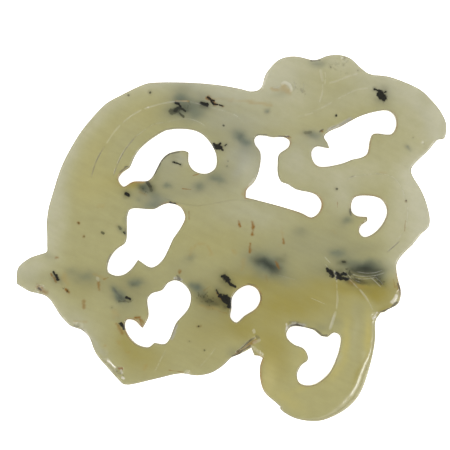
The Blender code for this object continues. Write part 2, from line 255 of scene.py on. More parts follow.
# Incised lines: points, half width, depth, how pale the ground stone in it is, how much dark soil it holds
LINES = [
    # along the back
    ([(-28, 12), (-27.1, 15), (-26.2, 16.8), (-25.2, 18.4)], 0.15, 0.08, 0.1, 0.6),
    ([(-25, 18.7), (-23.6, 20.9), (-22, 22.8)], 0.19, 0.08, 0.55, 0),
    ([(-21.9, 22.9), (-19.6, 24.7), (-17.6, 25.8)], 0.15, 0.09, 0.5, 0),
    ([(-17.6, 25.8), (-14.6, 26.7), (-11.4, 27.3), (-8.4, 27.4)], 0.15, 0.09, 0.6, 0),
    ([(-8.4, 27.4), (-4.4, 26.3), (0.8, 24.6), (3.3, 22.5)], 0.16, 0.07, 0.26, 0),
    # along the neck
    ([(-23.6, 12.2), (-22.6, 15), (-21.2, 17.6), (-19, 20.4)], 0.12, 0.08, 0, 0.6),
    ([(-19.2, 20.2), (-15.8, 22.6), (-13, 23.2)], 0.13, 0.06, 0.2, 0.15),
    ([(-13, 23.2), (-9, 23.9), (-6.2, 23.1), (-4.9, 22)], 0.13, 0.06, 0.24, 0),
    # eye
    ([(8, 30.1), (9.2, 30), (10.2, 30.7)], 0.2, 0.1, 0.4, 0.2),
    ([(10, 30.5), (10.6, 31.1), (11.5, 30.8), (12, 30), (11.9, 29)], 0.3, 0.14, 1.6, 0),
    ([(12.5, 31.7), (12.7, 30.4), (12.4, 29.2)], 0.14, 0.05, 0.25, 0.25),
    ([(14.4, 31.4), (14.5, 30.2), (14, 28.8)], 0.14, 0.05, 0.15, 0.35),
    # horn, its two edges, and the ear
    ([(17.8, 34), (18.1, 32.6), (18.4, 31)], 0.3, 0.07, 0.62, 0),
    ([(18.4, 31.2), (18.2, 29), (17.6, 26.8)], 0.2, 0.06, 0.4, 0),
    ([(18.7, 33.6), (18.9, 32.2), (18.7, 30.4)], 0.15, 0.06, 0.45, 0),
    ([(19.3, 30.9), (21.4, 31.5), (23.6, 32.4), (25.6, 33)], 0.22, 0.07, 0.5, 0),
    # cheek
    ([(13, 24.2), (15.2, 24.7), (17, 25.3)], 0.24, 0.06, 0.28, 0),
    ([(16.2, 25.1), (18.4, 26.2), (20.6, 27.4)], 0.24, 0.06, 0.32, 0),
    ([(21, 27.7), (23.4, 28.9), (25.4, 29.7), (28.4, 30.1)], 0.22, 0.06, 0.32, 0),
    # shoulder and breast
    ([(22.6, 11), (24.6, 12.3), (30.4, 12.8), (33.4, 11.2), (35.2, 6.6), (34.9, 2.2), (33, -0.9)],
     0.16, 0.05, 0.18, 0.06),
    ([(23.6, 12), (24.9, 12.6)], 0.18, 0.05, 0, 0.45),
    ([(28.6, 12.9), (30.2, 12.8)], 0.16, 0.05, 0, 0.35),
    ([(33.8, -0.5), (32.6, -1.6), (31.1, -2.9)], 0.12, 0.06, 0, 0.65),
    ([(32, 15.4), (34, 14.6), (35.8, 14)], 0.14, 0.04, 0.12, 0),
    # tail
    ([(20.6, -6.2), (20.9, -7.4), (21.2, -9)], 0.15, 0.08, 0.95, 0),
    ([(21.1, -8.8), (21.3, -12), (21.1, -14.6)], 0.18, 0.08, 0.42, 0),
    ([(21, -14.4), (20.4, -16.4), (19.6, -18.6)], 0.26, 0.12, 1.1, 0),
    ([(18.5, -3.5), (20.2, -5.3)], 0.12, 0.05, 0.5, 0),
    ([(18.6, -5), (19.8, -6.2)], 0.11, 0.05, 0.5, 0),
    ([(21.4, -6.6), (23.6, -8.2), (25.7, -10.3)], 0.15, 0.08, 0.55, 0),
    ([(25.5, -10), (27.2, -12.2), (28.6, -14.8)], 0.18, 0.09, 0.65, 0),
    ([(25, -6.7), (27, -7), (28.8, -6.9), (30.4, -6.4)], 0.08, 0.05, 0.75, 0),
    ([(23.9, -7.1), (25.8, -7.6), (28.6, -7.5), (30.8, -6.9)], 0.08, 0.05, 1, 0),
    ([(23.9, -7.5), (25.4, -8.1), (27.4, -8.1), (29.6, -7.7)], 0.08, 0.05, 0.7, 0),
    ([(24.4, -8.2), (26, -8.9)], 0.08, 0.05, 0.7, 0),
    ([(27.6, -7.6), (28.9, -8.7), (30.2, -10)], 0.09, 0.05, 1, 0),
    ([(28.6, -7.6), (29.8, -8.6), (30.6, -9.6)], 0.08, 0.05, 0.8, 0),
    ([(22.4, -6.4), (23.6, -7.6), (24.6, -8.6)], 0.08, 0.05, 0.8, 0),
    ([(9.2, -7.3), (13.2, -8.4)], 0.12, 0.05, 0.18, 0),
    ([(15.6, -11.8), (19.3, -13.4)], 0.12, 0.05, 0.28, 0),
    # haunch
    ([(-12.8, -21.8), (-13.9, -24), (-15.4, -27)], 0.2, 0.05, 0.28, 0),
    ([(-2.9, -21.8), (-4.6, -24), (-6.4, -26)], 0.17, 0.05, 0.22, 0),
    ([(-13.6, 7.9), (-7, 6.5), (0.5, 7.6), (4.5, 7.3)], 0.16, 0.04, 0, 0.14),
    # saw cut beside the tail
    ([(0.9, -23.1), (2.1, -22), (3.8, -20.5), (4.9, -19.8)], 0.22, 0.3, 0, 0.55),
]
LINE_STEP = 0.25  # mm between points of a line
LINE_REACH = 1  # mm past a line's own box that its mark can reach
LINE_FADE = 0.7  # mm over which a line runs out at its ends
BITE, BITE_SWING, BITE_GRAIN = 0.82, 0.7, 1.1  # the wheel's bite on average, its swing, and that one's mm
LEAST_BITE, WHEEL_SEED = 0.2, 3
HOLLOW_REACH, MARK_REACH = 1.25, 1.35  # how far out a line is cut and marked, in half widths
MOST_PALE = 1.6


def through(points, step):
    """A smooth open line through the points: Catmull-Rom cubics, with the ends' neighbours mirrored."""
    p = np.array(points, float) + PLAN_ZERO
    p = np.concatenate([[2 * p[0] - p[1]], p, [2 * p[-1] - p[-2]]])
    rows = []
    for a, b, c, d in zip(p[:-3], p[1:-2], p[2:-1], p[3:]):
        t = np.linspace(0, 1, max(2, round(np.linalg.norm(c - b) / step)), endpoint=False)[:, None]
        rows.append(0.5 * (2 * b + (c - a) * t + (2 * a - 5 * b + 4 * c - d) * t**2
                           + (3 * b - a - 3 * c + d) * t**3))
    return np.concatenate([*rows, [p[-2]]])


CUTS = [(through(points, LINE_STEP), *rest) for points, *rest in LINES]
print("incised lines", len(CUTS), "total", round(sum(len(c[0]) for c in CUTS) * LINE_STEP), "mm")


# %% The height of the face over the plan
def near_share(places, spot):
    """1 within half the reach of one worn spot, easing to 0 at its reach."""
    x, y, reach = spot[:3]
    gap = np.linalg.norm(places - PLAN_ZERO - (x, y), axis=1)
    return np.clip(2 - 2 * gap / reach, 0, 1) ** 2


def edge_size(places, spots):
    """The width and drop of the edge's round near each place: the usual ones, and more at the worn spots."""
    width, drop = np.full(len(places), EDGE_WIDTH), np.full(len(places), EDGE_DROP)
    for spot in spots:
        share = near_share(places, spot)
        width += share * spot[3]
        drop += share * spot[4]
    return width, drop


def line_marks(places):
    """For every place: the depth cut by the lines, and how much pale stone and dark soil they leave there.

    Across a line the depth is 1 minus the square of the distance over the hollow's reach. Along it, noise
    makes the wheel bite and skip.
    """
    depth, pale, soil = (np.zeros(len(places)) for _ in range(3))
    for line, half_width, deepest, paleness, soiling in CUTS:
        first, last = line.min(axis=0) - LINE_REACH, line.max(axis=0) + LINE_REACH
        near = np.flatnonzero(((places > first) & (places < last)).all(axis=1))
        gap, at = distance_to(places[near], line[:-1], line[1:])
        ends = np.clip(np.minimum(at, len(line) - 1 - at) * LINE_STEP / LINE_FADE, 0, 1)
        swing = BITE_SWING * rough_noise(places[near], BITE_GRAIN, WHEEL_SEED)
        bite = np.clip(BITE + swing, LEAST_BITE, 1) * ends
        hollow = np.clip(1 - (gap / (half_width * HOLLOW_REACH)) ** 2, 0, 1)
        depth[near] = np.maximum(depth[near], deepest * bite * hollow)
        mark = ease(MARK_REACH - gap / half_width, 0, 1) * bite
        pale[near] = np.maximum(pale[near], paleness * mark)
        soil[near] = np.maximum(soil[near], soiling * mark)
    return depth, np.clip(pale, 0, MOST_PALE), soil


def face_height(places, from_outer, from_inner, cut_depth):
    """The thickness less the outer thinning, a quarter ellipse on each edge and the lines, plus hand wear."""
    height = THICKNESS - PILLOW_DROP * np.clip(1 - from_outer / PILLOW_WIDTH, 0, 1) ** 2
    for gap, spots in ((from_outer, ROUNDED), (from_inner, SLANTED)):
        width, drop = edge_size(places, spots)
        inward = np.clip(gap / width, 0, 1)
        height -= drop * (1 - np.sqrt(1 - (1 - inward) ** 2))
    wear = sum(height_of * noise(places, size, seed) for height_of, size, seed in WEAR)
    still = ease(np.minimum(from_outer, from_inner), WEAR_START, WEAR_FULL)
    return np.minimum(height - cut_depth + wear * still - WEAR_SINK, THICKNESS)


# %% [markdown]
# ## The skin
# The skin is the face, the wall and the back. The face and the back are heights over the plan, so each is
# one set of plan points cut into triangles: rings that follow every edge, rows that follow every line, close
# points where the stone holds small sharp marks, and an even grid between. The wall is an upright profile
# carried along the rim. So the marks come first. Each is a few strokes, as a brush would leave them, and
# noise makes their edges ragged.

# %% Where the sharp marks lie
# Every stroke: (start x, start y, end x, end y, radius, strength)
# Black mica and graphite in the stone
INK = [
    (-11.8, 25.3, -10.7, 25.7, 0.62, 0.55), (-11.2, 25.5, -10.4, 26.1, 0.42, 0.85),
    (-10.3, 26.2, -9.1, 25.4, 0.26, 0.85), (-10.2, 24.9, -9.6, 24.3, 0.3, 0.7),
    (-11.1, 27, -10.5, 26.8, 0.3, 1), (-10.5, 26.8, -10, 26.3, 0.18, 1), (-6, 27, -4.9, 26.7, 0.46, 1),
    (-4.6, 28.1, -4.2, 27.8, 0.27, 1), (-4, 27.5, -3.4, 27.5, 0.2, 1), (-3.9, 27.2, -3.5, 26.8, 0.27, 1),
    (-3.4, 26.8, -2.7, 26.7, 0.18, 1), (-2.3, 26.6, -1.7, 26.4, 0.16, 1), (-3.2, 18.4, -2.1, 18.1, 0.62, 1),
    (-2.4, 18.7, -2.1, 18.9, 0.32, 1), (-1.9, 17.8, -1.7, 17.6, 0.27, 1), (-3.6, 18.9, -3.4, 18.9, 0.14, 1),
    (-1.2, 18.5, -0.9, 18.7, 0.16, 1), (-11.6, 15.2, -11.2, 15.1, 0.26, 1), (-10.9, 15, -10.1, 14.7, 0.18, 1),
    (-20.9, 8.9, -20.5, 8.6, 0.42, 1), (-16.7, 11.1, -16.2, 10.4, 0.38, 0.7),
    (-16.2, 10.4, -15.9, 9.6, 0.34, 0.5), (-12.2, 7.1, -11.2, 6.9, 0.22, 1),
    (28.7, 29.8, 29.5, 29.4, 0.28, 1), (29.8, 28.9, 30.1, 28.6, 0.72, 1), (30.1, 28.6, 30.4, 27.9, 0.77, 1),
    (30.7, 29.1, 30.9, 29.2, 0.22, 1), (-35.5, -6.8, -35.2, -7.4, 0.27, 1), (-35, -7.5, -34.6, -8.3, 0.38, 1),
    (-20.9, -11.9, -20.2, -12.2, 0.36, 1), (-22, -17.1, -21.4, -17.8, 0.5, 1),
    (-1.9, -7.7, -1.4, -7.6, 0.35, 1), (-1.3, -7.6, -0.8, -8.3, 0.66, 1), (-0.7, -8.5, -0.1, -9.2, 0.38, 1),
    (-0.1, -9.3, 0.8, -9.7, 0.28, 1), (-2.9, -10.4, -2.6, -11, 0.22, 1), (-2.1, -11.5, -1.7, -11.8, 0.5, 1),
    (-1.4, -12, -0.7, -12.6, 1, 1), (-0.6, -12.8, 0, -13.3, 0.9, 1), (19.2, -6.1, 19.7, -6.7, 0.32, 1),
    (19.7, -6.6, 20.4, -7.5, 0.56, 1), (21, -7.1, 21.8, -7.5, 0.44, 1), (22.1, -7.2, 22.9, -7.3, 0.42, 1),
    (21.2, -7.9, 23.4, -8.1, 0.46, 1), (23.5, -7, 23.9, -7.4, 0.18, 0.6),
    (22.4, -4.75, 22.8, -4.75, 0.36, 0.75), (14.9, 21.1, 15.9, 21.1, 0.32, 0.32),
    (-22.5, 2.3, -22.1, 1.9, 0.3, 0.5), (-21.4, 1.1, -21.2, 0.9, 0.26, 0.9),
    (-25.8, 1.1, -25.6, 1, 0.32, 0.7), (-32.7, -10.5, -32.6, -10.7, 0.15, 0.9),
]
# Single specks: (x, y, radius, strength)
SPECKS = [
    (-1.5, 22.5, 0.28, 0.75), (-16.2, 29.1, 0.27, 0.8), (-20.5, 28.6, 0.25, 0.6), (21.1, 24.5, 0.28, 1),
    (21.1, 9.8, 0.26, 0.75), (-0.8, 14.4, 0.2, 0.5), (-0.6, 15.4, 0.18, 0.5), (35, 7.5, 0.22, 0.65),
    (36.4, 20.1, 0.18, 0.4), (-23.8, -13.9, 0.24, 0.45), (-6.5, -17.6, 0.32, 0.85), (-8.3, -20.6, 0.2, 0.6),
    (-5.3, -22.4, 0.2, 0.6), (19.9, 34.2, 0.25, 0.5), (22.5, 34.6, 0.16, 0.6), (22.7, 36, 0.18, 0.4),
    (25.4, 33.5, 0.2, 0.35), (-30.5, 3, 0.2, 0.5), (-29.4, 0.3, 0.18, 0.4), (30.6, 3.4, 0.16, 0.4),
]
INK += [(x, y, x, y, radius, strength) for x, y, radius, strength in SPECKS]
# Places where the black breaks up into grains
DUST = [
    (-5.6, -11.6, -3.2, -12.9, 1.3, 0.42), (-8.8, 25.2, -8.4, 26.6, 0.8, 0.2),
    (24.4, -8.2, 26.6, -8.8, 0.7, 0.5), (28.8, -7.6, 30.6, -9.3, 0.8, 0.4), (19.8, 34.6, 23.4, 35.2, 1, 0.14),
    (23, -6.2, 24.2, -7.4, 0.6, 0.6), (-22.6, -26.6, -21.4, -27.6, 0.6, 0.3),
    (12.6, 30.6, 14.4, 29.2, 0.8, 0.18), (-20, -12.6, -22.8, -12.6, 0.5, 0.4),
    (-17.4, 10.4, -17, 9.2, 0.5, 0.4), (20.4, 34, 23, 32.8, 0.8, 0.15), (-33.6, -9.8, -32.8, -10.8, 0.4, 0.5),
]
# Iron stain in hair cracks and round the black
RUST = [
    (1.5, 3.5, 1.7, 2.9, 0.4, 0.6), (1.7, 2.8, 1.9, 2.4, 0.4, 1), (4.2, 3.2, 4.45, 2.2, 0.42, 0.85),
    (4.45, 2.2, 4.2, 0.8, 0.55, 1), (3.85, -1.1, 3.7, -2.8, 0.52, 1), (10.4, -0.2, 10.6, -1, 0.4, 0.8),
    (8.9, -4.7, 9.6, -6.1, 0.38, 0.75), (-26.5, -8.9, -26.4, -10.4, 0.46, 0.66),
    (-29.4, -12.6, -29.4, -13.9, 0.58, 0.6), (-33.1, -10.2, -32.4, -10.8, 0.42, 1),
    (-19.2, -15.9, -18.3, -15.8, 0.46, 1), (-17.9, -16.4, -17.4, -17.2, 0.5, 0.75),
    (-18.2, -16.2, -17.8, -17.6, 0.34, 0.9), (-7.6, 12.5, -6.5, 12.8, 0.25, 0.9),
    (-9.7, 9.9, -8, 9.7, 0.16, 0.8), (21.3, 7.2, 21.3, 6.1, 0.15, 0.8), (34.9, 3.5, 34.7, 1.4, 0.2, 0.5),
    (32.5, -8.3, 32.8, -9.8, 0.24, 0.4), (33.2, -9.4, 33.4, -10.6, 0.22, 0.4),
    (-8.4, 5.3, -8.4, 3.8, 0.24, 0.5), (-30.5, 3.1, -30.4, 3, 0.45, 1), (-29.4, 0.4, -29.4, 0.3, 0.42, 0.7),
    (-34.9, -3.9, -34.6, -3.9, 0.42, 0.7), (-10.3, -7, -10.1, -6.6, 0.5, 1),
    (-22.5, -26, -21.9, -26.1, 0.42, 1), (-38.7, -9.8, -37, -10.9, 0.85, 0.6),
    (1.2, -23, 4.9, -20.5, 0.6, 0.65), (11.9, 20.1, 11.4, 20.3, 0.3, 0.8),
    (-12.4, -26.4, -9.6, -26.8, 0.15, 0.8), (35, 7.5, 35, 7.4, 0.36, 0.6), (18, 21.5, 18.3, 21.3, 0.42, 0.85),
    (-36, -7.1, -35.8, -7.5, 0.27, 0.8), (-35.4, -7.9, -34.9, -8.8, 0.32, 0.6),
    (-22.7, -17.2, -21.7, -19, 0.6, 0.6), (-25.4, -8.2, -24.6, -7.9, 0.2, 0.7),
    (18.8, 20.6, 19.6, 19.2, 0.34, 0.5), (-12.2, 7, -11, 6.8, 0.34, 0.6), (-4.7, 28.1, -3, 26.8, 0.62, 0.8),
    (-2.6, 26.7, -1.5, 26.3, 0.25, 0.6), (-18.1, 9.2, -17, 8.6, 0.42, 0.25), (5, -9.4, 6.2, -11.2, 0.25, 0.4),
    (7, -7.6, 7.3, -8.8, 0.42, 0.15), (-2.4, -14.6, -0.8, -15, 0.3, 0.3),
    (-5.4, -10.5, -4.2, -9.6, 0.25, 0.25), (-2.9, -11, -1.9, -12.2, 0.34, 0.6),
    (-6.8, -17.6, -6.1, -17.6, 0.36, 0.4),
]
# Faint, wide iron stain
BLUSH = [
    (-8.2, -3.4, -7.8, -2, 0.42, 0.35), (-7.8, -2, -6.4, -1.1, 0.42, 0.3),
    (-6.4, -1.1, -4.6, -1.5, 0.42, 0.25), (-4.4, -1.8, -4, -3.2, 0.42, 0.3), (0.6, -2.6, 0.8, -3, 0.42, 0.3),
    (-33.4, -7.4, -32.8, -9.2, 1, 0.3), (-11, 27.4, -8.4, 27.4, 0.22, 0.55), (-5, 27.9, 0, 27.7, 0.34, 0.28),
    (0, 27.7, 8, 26.7, 0.4, 0.36), (8.2, 29.9, 9.6, 29.5, 0.42, 0.42), (10.5, 29.9, 11.3, 29.4, 1.1, 0.42),
    (-25.2, -21.4, -25.2, -21.7, 0.34, 0.45), (-22.5, -20.6, -22.4, -21.2, 0.42, 0.3),
    (-21.2, -22.6, -20.2, -22.9, 0.5, 0.28), (-23.6, -15.4, -23.4, -15.9, 0.42, 0.25),
    (-26.6, 6.4, -25.6, 6.4, 0.5, 0.22), (20.4, 1.6, 20.8, 1.2, 0.4, 0.18),
    (9.4, -1.2, 9.8, -1.8, 0.42, 0.25), (2.6, -4.2, 2.2, -6.2, 0.5, 0.22),
    (29.8, 13.1, 31.2, 12.9, 0.3, 0.15), (-19.6, 11.3, -17.6, 11.2, 0.3, 0.55),
    (2.4, 9.4, 2.3, 8.6, 0.34, 0.6), (-17, -25.4, -17.3, -26.4, 0.42, 0.3),
    (-27.4, -7.2, -25.2, -8.2, 0.42, 0.28), (24, -8.8, 26.4, -9.8, 0.7, 0.3),
    (-31.3, -16.7, -28.9, -16.7, 0.26, 0.3), (-23.4, -14.9, -22.8, -15.3, 1, 0.22),
    (-6, -13.4, -2.6, -14.2, 0.7, 0.28), (10.2, 2, 10.4, 0.2, 0.42, 0.25),
]
# Dark soil in cuts and along edges, and thin lines of painted shadow along some edges of openings, such as
# the top edges of the throat and the neck arch
SOIL_AND_SHADOW = [
    (12, -17.5, 13.2, -17.3, 0.17, 1), (13.2, -17.3, 14.8, -17.9, 0.24, 1),
    (15, -17.9, 16.6, -18.1, 0.2, 0.6), (16.8, -18.2, 18.2, -19.3, 0.16, 0.8),
    (18.2, -19.4, 19.2, -19.4, 0.17, 0.9), (11.6, -16.8, 13.6, -16.8, 0.22, 0.4),
    (0.2, -23.6, 1.4, -23.2, 0.22, 0.8), (1.4, -23.2, 2.4, -22.4, 0.24, 0.9),
    (2.4, -22.4, 3.8, -21.5, 0.2, 0.8), (2, -22.1, 3.8, -20.5, 0.17, 0.7),
    (3.8, -20.5, 4.9, -19.8, 0.24, 0.35), (5, -19.6, 5.5, -19.9, 0.42, 0.45),
    (16, 35.45, 17.8, 35.55, 0.22, 0.7), (9.6, 20.3, 11.6, 20.3, 0.2, 0.9), (5.2, 20.6, 7.2, 20.7, 0.14, 0.5),
    (-15.3, 12.8, -13.8, 15.7, 0.26, 0.8), (-13.8, 15.7, -12.2, 16.9, 0.18, 0.8),
    (-12.2, 16.9, -10.4, 17.2, 0.17, 0.7), (-22.2, 13.2, -21.2, 14, 0.16, 0.6),
    (-21.2, 14.2, -20.4, 14.4, 0.17, 0.8), (29.6, -14.9, 30.6, -14.5, 0.24, 0.8),
    (30.6, -14.5, 32, -13.9, 0.24, 1), (32, -13.9, 33.2, -12.8, 0.24, 0.9), (33.3, -9, 33.9, -10.6, 0.2, 0.9),
    (33.9, -10.6, 33.9, -11.6, 0.17, 0.7), (-38.4, -10.1, -38, -10.4, 0.3, 0.9),
    (-31.3, -17.5, -30.5, -17.7, 0.2, 0.5), (-30, -18, -29.4, -18.6, 0.2, 0.4),
    (-30.6, -17.3, -30.3, -17.4, 0.26, 0.25), (-10.8, -7.5, -10.2, -8.2, 0.26, 0.7),
    (18.4, 21.7, 17.8, 21.3, 0.2, 0.7), (23.8, 5.8, 23.9, 4.6, 0.26, 0.6),
    (-21, -12.9, -23.4, -10.2, 0.25, 0.3), (-21.2, 2, -21, 0.4, 0.2, 0.5),
    (-23, -26.3, -22.8, -26.7, 0.2, 0.45), (-22.4, -26.9, -22.2, -27.1, 0.2, 0.2),
    (-24.1, -3.2, -24.7, -4.8, 0.18, 0.5), (-10.5, -7.6, -10.4, -8.1, 0.38, 0.45),
    (3.4, -9.1, 4.8, -9.4, 0.15, 0.6), (5.9, -11, 6.1, -12.4, 0.13, 0.5),
]
# Bruised or freshly ground stone, which is nearly white, and painted highlights: glints painted on the worn
# edges of the lower-left corner, the knob on the right and the corner below the spur
BRUISES_AND_HIGHLIGHTS = [
    (-24.7, -24.5, -23, -25.9, 0.18, 0.7), (-22, -26.4, -21.9, -26.9, 0.28, 0.5),
    (-21.7, -27.9, -21.5, -28, 0.32, 1), (33.1, -11.6, 32.3, -12.7, 0.44, 0.8),
    (4.4, -18.5, 4.6, -18.8, 0.42, 0.35), (4.3, -22.1, 5.2, -22.6, 0.4, 0.18),
    (5.2, -22.6, 6.2, -23.4, 0.34, 0.22), (4.6, -20.9, 5.6, -20.4, 0.34, 0.25),
    (-16.6, 26.1, -16.5, 26.1, 0.3, 0.7), (28.4, -16.2, 29.2, -14.9, 0.34, 0.65),
    (11.1, -17.3, 11.2, -18.2, 0.3, 0.6), (-8.8, -27, -8.6, -27, 0.3, 0.4),
    (-30, -17.6, -29, -18.7, 0.36, 0.14), (-31.4, -16.9, -30.8, -16.9, 0.24, 0.3),
    (6.2, 30.2, 7.3, 32.8, 0.42, 0.5), (12.2, -16.9, 12.9, -16.9, 0.22, 0.45),
    (3.6, 10.4, 4.6, 11.9, 0.3, 0.35), (-26.8, -8, -26.5, -8.5, 0.4, 0.22),
    (19.6, 21.4, 21.4, 22.4, 0.3, 0.3),
]


def stroke_share(places, strokes, ragged, grain, soft=0.3, sparse=0.0):
    """How much of a mark each place holds: the strength of the stroke that it lies in, and 0 outside.

    The level falls from 1 on a stroke's middle line to 0 at its radius, and noise is added. Sparse lowers it,
    so that only the noise's peaks are left. Above 0 it eases to the full strength over the soft range.
    """
    share = np.zeros(len(places))
    uneven = ragged * rough_noise(places, grain, 11) - sparse
    for x0, y0, x1, y1, radius, strength in strokes:
        start, end = np.array([x0, y0]) + PLAN_ZERO, np.array([x1, y1]) + PLAN_ZERO
        reach = (1 + ragged) * radius
        low, high = np.minimum(start, end) - reach, np.maximum(start, end) + reach
        near = np.flatnonzero(((places > low) & (places < high)).all(axis=1))
        gap, _ = distance_to(places[near], start[None], end[None])
        share[near] = np.maximum(share[near], strength * ease(1 - gap / radius + uneven[near], 0, soft))
    return share


# %% Choose the plan points
FACE_GRID, BACK_GRID, SPECK_GRID = 0.50, 1.3, 0.11  # mm
ROW_GAP = 0.866  # between the rows of a triangular grid, as a share of its spacing
CLOSE_CELL = 0.05  # mm, the least room of a close point
EVEN_CLEAR, BACK_CLEAR = 0.6, 1.0  # mm between the rim and the even grids of the face and the back
RING_SHARES = (0.04, 0.12, 0.25, 0.42, 0.65, 1.0)
FOOT_SHARES = (0.1, 0.4, 1.0)
BED_ROWS = (-1.5, -0.9, -0.45, 0, 0.45, 0.9, 1.5)
STROKE_REACH, STROKE_BOX = 1.7, 1.8  # the close points round a stroke and their grid's box, in radii
OWN_RING = 0.96  # a ring's point stays if the rim is no nearer than this share of its reach


def even_grid(low, high, spacing):
    """Points of a triangular grid over a box."""
    x, y = np.meshgrid(np.arange(low[0], high[0], spacing), np.arange(low[1], high[1], spacing * ROW_GAP))
    x[1::2] += spacing / 2
    return np.stack([x.ravel(), y.ravel()], axis=1)


def into_stone(loop):
    """At each point of an outline, the direction into the stone: the left of the outline's own course."""
    along = np.roll(loop, -1, axis=0) - np.roll(loop, 1, axis=0)
    along /= np.linalg.norm(along, axis=1, keepdims=True)
    return np.stack([-along[:, 1], along[:, 0]], axis=1)


RIM_INWARD = np.concatenate([into_stone(loop) for loop in LOOPS])


def ring(reach):
    """The outlines moved into the stone by each rim point's reach, less what comes nearer another edge."""
    moved = RIM + RIM_INWARD * np.reshape(reach, (-1, 1))
    gap = distance_to(moved, RIM, RIM_NEXT)[0]
    return moved[(gap > OWN_RING * reach) & inside(moved)]


def line_beds():
    """Rows of points beside every incised line, at shares of its half width."""
    rows = []
    for line, half_width, *_ in CUTS:
        along = np.gradient(line, axis=0)
        along /= np.linalg.norm(along, axis=1, keepdims=True)
        side = np.stack([-along[:, 1], along[:, 0]], axis=1)
        rows += [line + side * half_width * share for share in BED_ROWS]
    return np.concatenate(rows)


def speck_points():
    """A close grid round every dark stroke and stain, out to where its ragged edge can reach."""
    rows = []
    for x0, y0, x1, y1, radius, _ in INK + DUST + RUST + SOIL_AND_SHADOW + BRUISES_AND_HIGHLIGHTS:
        a, b = np.array([x0, y0]) + PLAN_ZERO, np.array([x1, y1]) + PLAN_ZERO
        margin = STROKE_BOX * radius
        grid = even_grid(np.minimum(a, b) - margin, np.maximum(a, b) + margin, SPECK_GRID)
        rows.append(grid[distance_to(grid, a[None], b[None])[0] < STROKE_REACH * radius])
    return np.concatenate(rows)


def thinned(points, cell):
    """The points without those that share a small square cell with an earlier one."""
    _, first = np.unique(np.floor(points / cell).astype(int), axis=0, return_index=True)
    return points[np.sort(first)]


def kept(points, least):
    """The points that lie in the stone, at least this far from the rim."""
    points = points[inside(points)]
    return points[distance_to(points, RIM, RIM_NEXT)[0] > least]


low, high = RIM.min(axis=0), RIM.max(axis=0)
edge_width = np.concatenate([edge_size(OUTER, ROUNDED)[0], edge_size(INNER, SLANTED)[0]])
rings = np.concatenate([ring(share * edge_width) for share in RING_SHARES])
close = thinned(kept(np.concatenate([line_beds(), speck_points()]), CLOSE_CELL), CLOSE_CELL)
even = kept(even_grid(low, high, FACE_GRID), EVEN_CLEAR)
FACE_PLAN = np.concatenate([RIM, rings, close, even])
foot_rings = [ring(np.full(len(RIM), share * FOOT_WIDTH)) for share in FOOT_SHARES]
BACK_PLAN = np.concatenate([RIM, *foot_rings, kept(even_grid(low, high, BACK_GRID), BACK_CLEAR)])
print("face points", len(FACE_PLAN), "rings", len(rings), "close", len(close), "even", len(even))

# %% Cut the plan into triangles
ONE_POINT = 1e-4  # mm, two plan points closer than this are joined


def triangles(plan):
    """Delaunay triangles over the plan that keep every rim edge, without those outside the stone."""
    edges = np.stack([np.arange(len(RIM)), AFTER], axis=1).tolist()
    points, _, faces, came_from, _, _ = geometry.delaunay_2d_cdt(plan.tolist(), edges, [], 0, ONE_POINT)
    points, faces = np.array([p[:] for p in points]), np.array(faces)
    new_index = np.full(len(plan), -1)
    for now, old in enumerate(came_from):
        new_index[old] = now
    return points, faces[inside(points[faces].mean(axis=1))], new_index[: len(RIM)]


face_plan, face_triangles, face_rim = triangles(FACE_PLAN)
back_plan, back_triangles, back_rim = triangles(BACK_PLAN)
print("triangles: face", len(face_triangles), "back", len(back_triangles))

# %% [markdown]
# ## Chips
# Old jade loses small flakes from thin edges, and they leave shallow scoops. They could be cut with a
# boolean, one cutter for each, but a scoop is only a dent in the height of the face near the rim.

# %% Small losses along the edge
# Chips: (x, y, radius, depth)
CHIPS = [
    (-38.2, -10.2, 1, 0.6), (-30.3, -17.6, 0.9, 0.16), (-22.3, -26.4, 0.9, 0.5), (5.3, -23.5, 1.2, 0.2),
    (4.5, -22.3, 0.8, 0.12), (-8.8, -27, 0.6, 0.3), (28.9, -15.6, 0.9, 0.3), (11.2, 20.2, 0.5, 0.2),
    (22.6, 35.8, 0.7, 0.2), (38.8, 18.9, 0.7, 0.3), (36.2, 9.8, 0.6, 0.2), (-25.2, -22.9, 0.7, 0.3),
    (-15, -18.9, 0.5, 0.2), (9, -31.2, 0.6, 0.2),
]
CHIP_RAGGED, CHIP_GRAIN, CHIP_SEED = 0.45, 0.9, 21  # how ragged a chip is, and the size of that in mm
CHIP_REACH = 1.6  # radii, as far as its raggedness goes


def chip_depth(places):
    """How deep the chips go: ragged round scoops, each 1 minus the square of distance over radius."""
    depth = np.zeros(len(places))
    ragged = CHIP_RAGGED * rough_noise(places, CHIP_GRAIN, CHIP_SEED)
    for x, y, radius, deepest in CHIPS:
        gap = np.linalg.norm(places - PLAN_ZERO - (x, y), axis=1) / radius
        depth = np.maximum(depth, deepest * np.clip(1 - gap**2 + ragged * (gap < CHIP_REACH), 0, 1))
    return depth


# %% Put the skin together
WALL_SHARES = (0.25, 0.5, 0.75, 1.0)  # rows of the wall, as shares of the way down
SAW_WAVE, SAW_GRAIN, SAW_SEED = 0.05, 1.5, 31  # how far the saw wandered on the walls and over what, in mm


def wall_rows(top):
    """The wall's rows under the rim: straight down, but for the saw's wander, which has faded at the last."""
    rows = []
    for share in WALL_SHARES:
        wander = SAW_WAVE * (1 + noise(RIM + 3 * share, SAW_GRAIN, SAW_SEED)) * math.sin(math.pi * share)
        plan = RIM + RIM_INWARD * wander[:, None]
        rows.append(np.column_stack([plan, top + (FOOT_RISE - top) * share]))
    return rows


def wall_faces(upper, lower):
    """Two triangles for each step of the rim, between an upper and a lower row of points, facing out."""
    halves = (lower, lower[AFTER], upper[AFTER]), (lower, upper[AFTER], upper)
    return np.concatenate([np.stack(half, axis=1) for half in halves])


from_outer = from_loop(face_plan, OUTER)
from_inner = distance_to(face_plan, INNER, INNER_NEXT)[0]
line_depth, line_pale, line_soil = line_marks(face_plan)
face_z = face_height(face_plan, from_outer, from_inner, line_depth + chip_depth(face_plan))

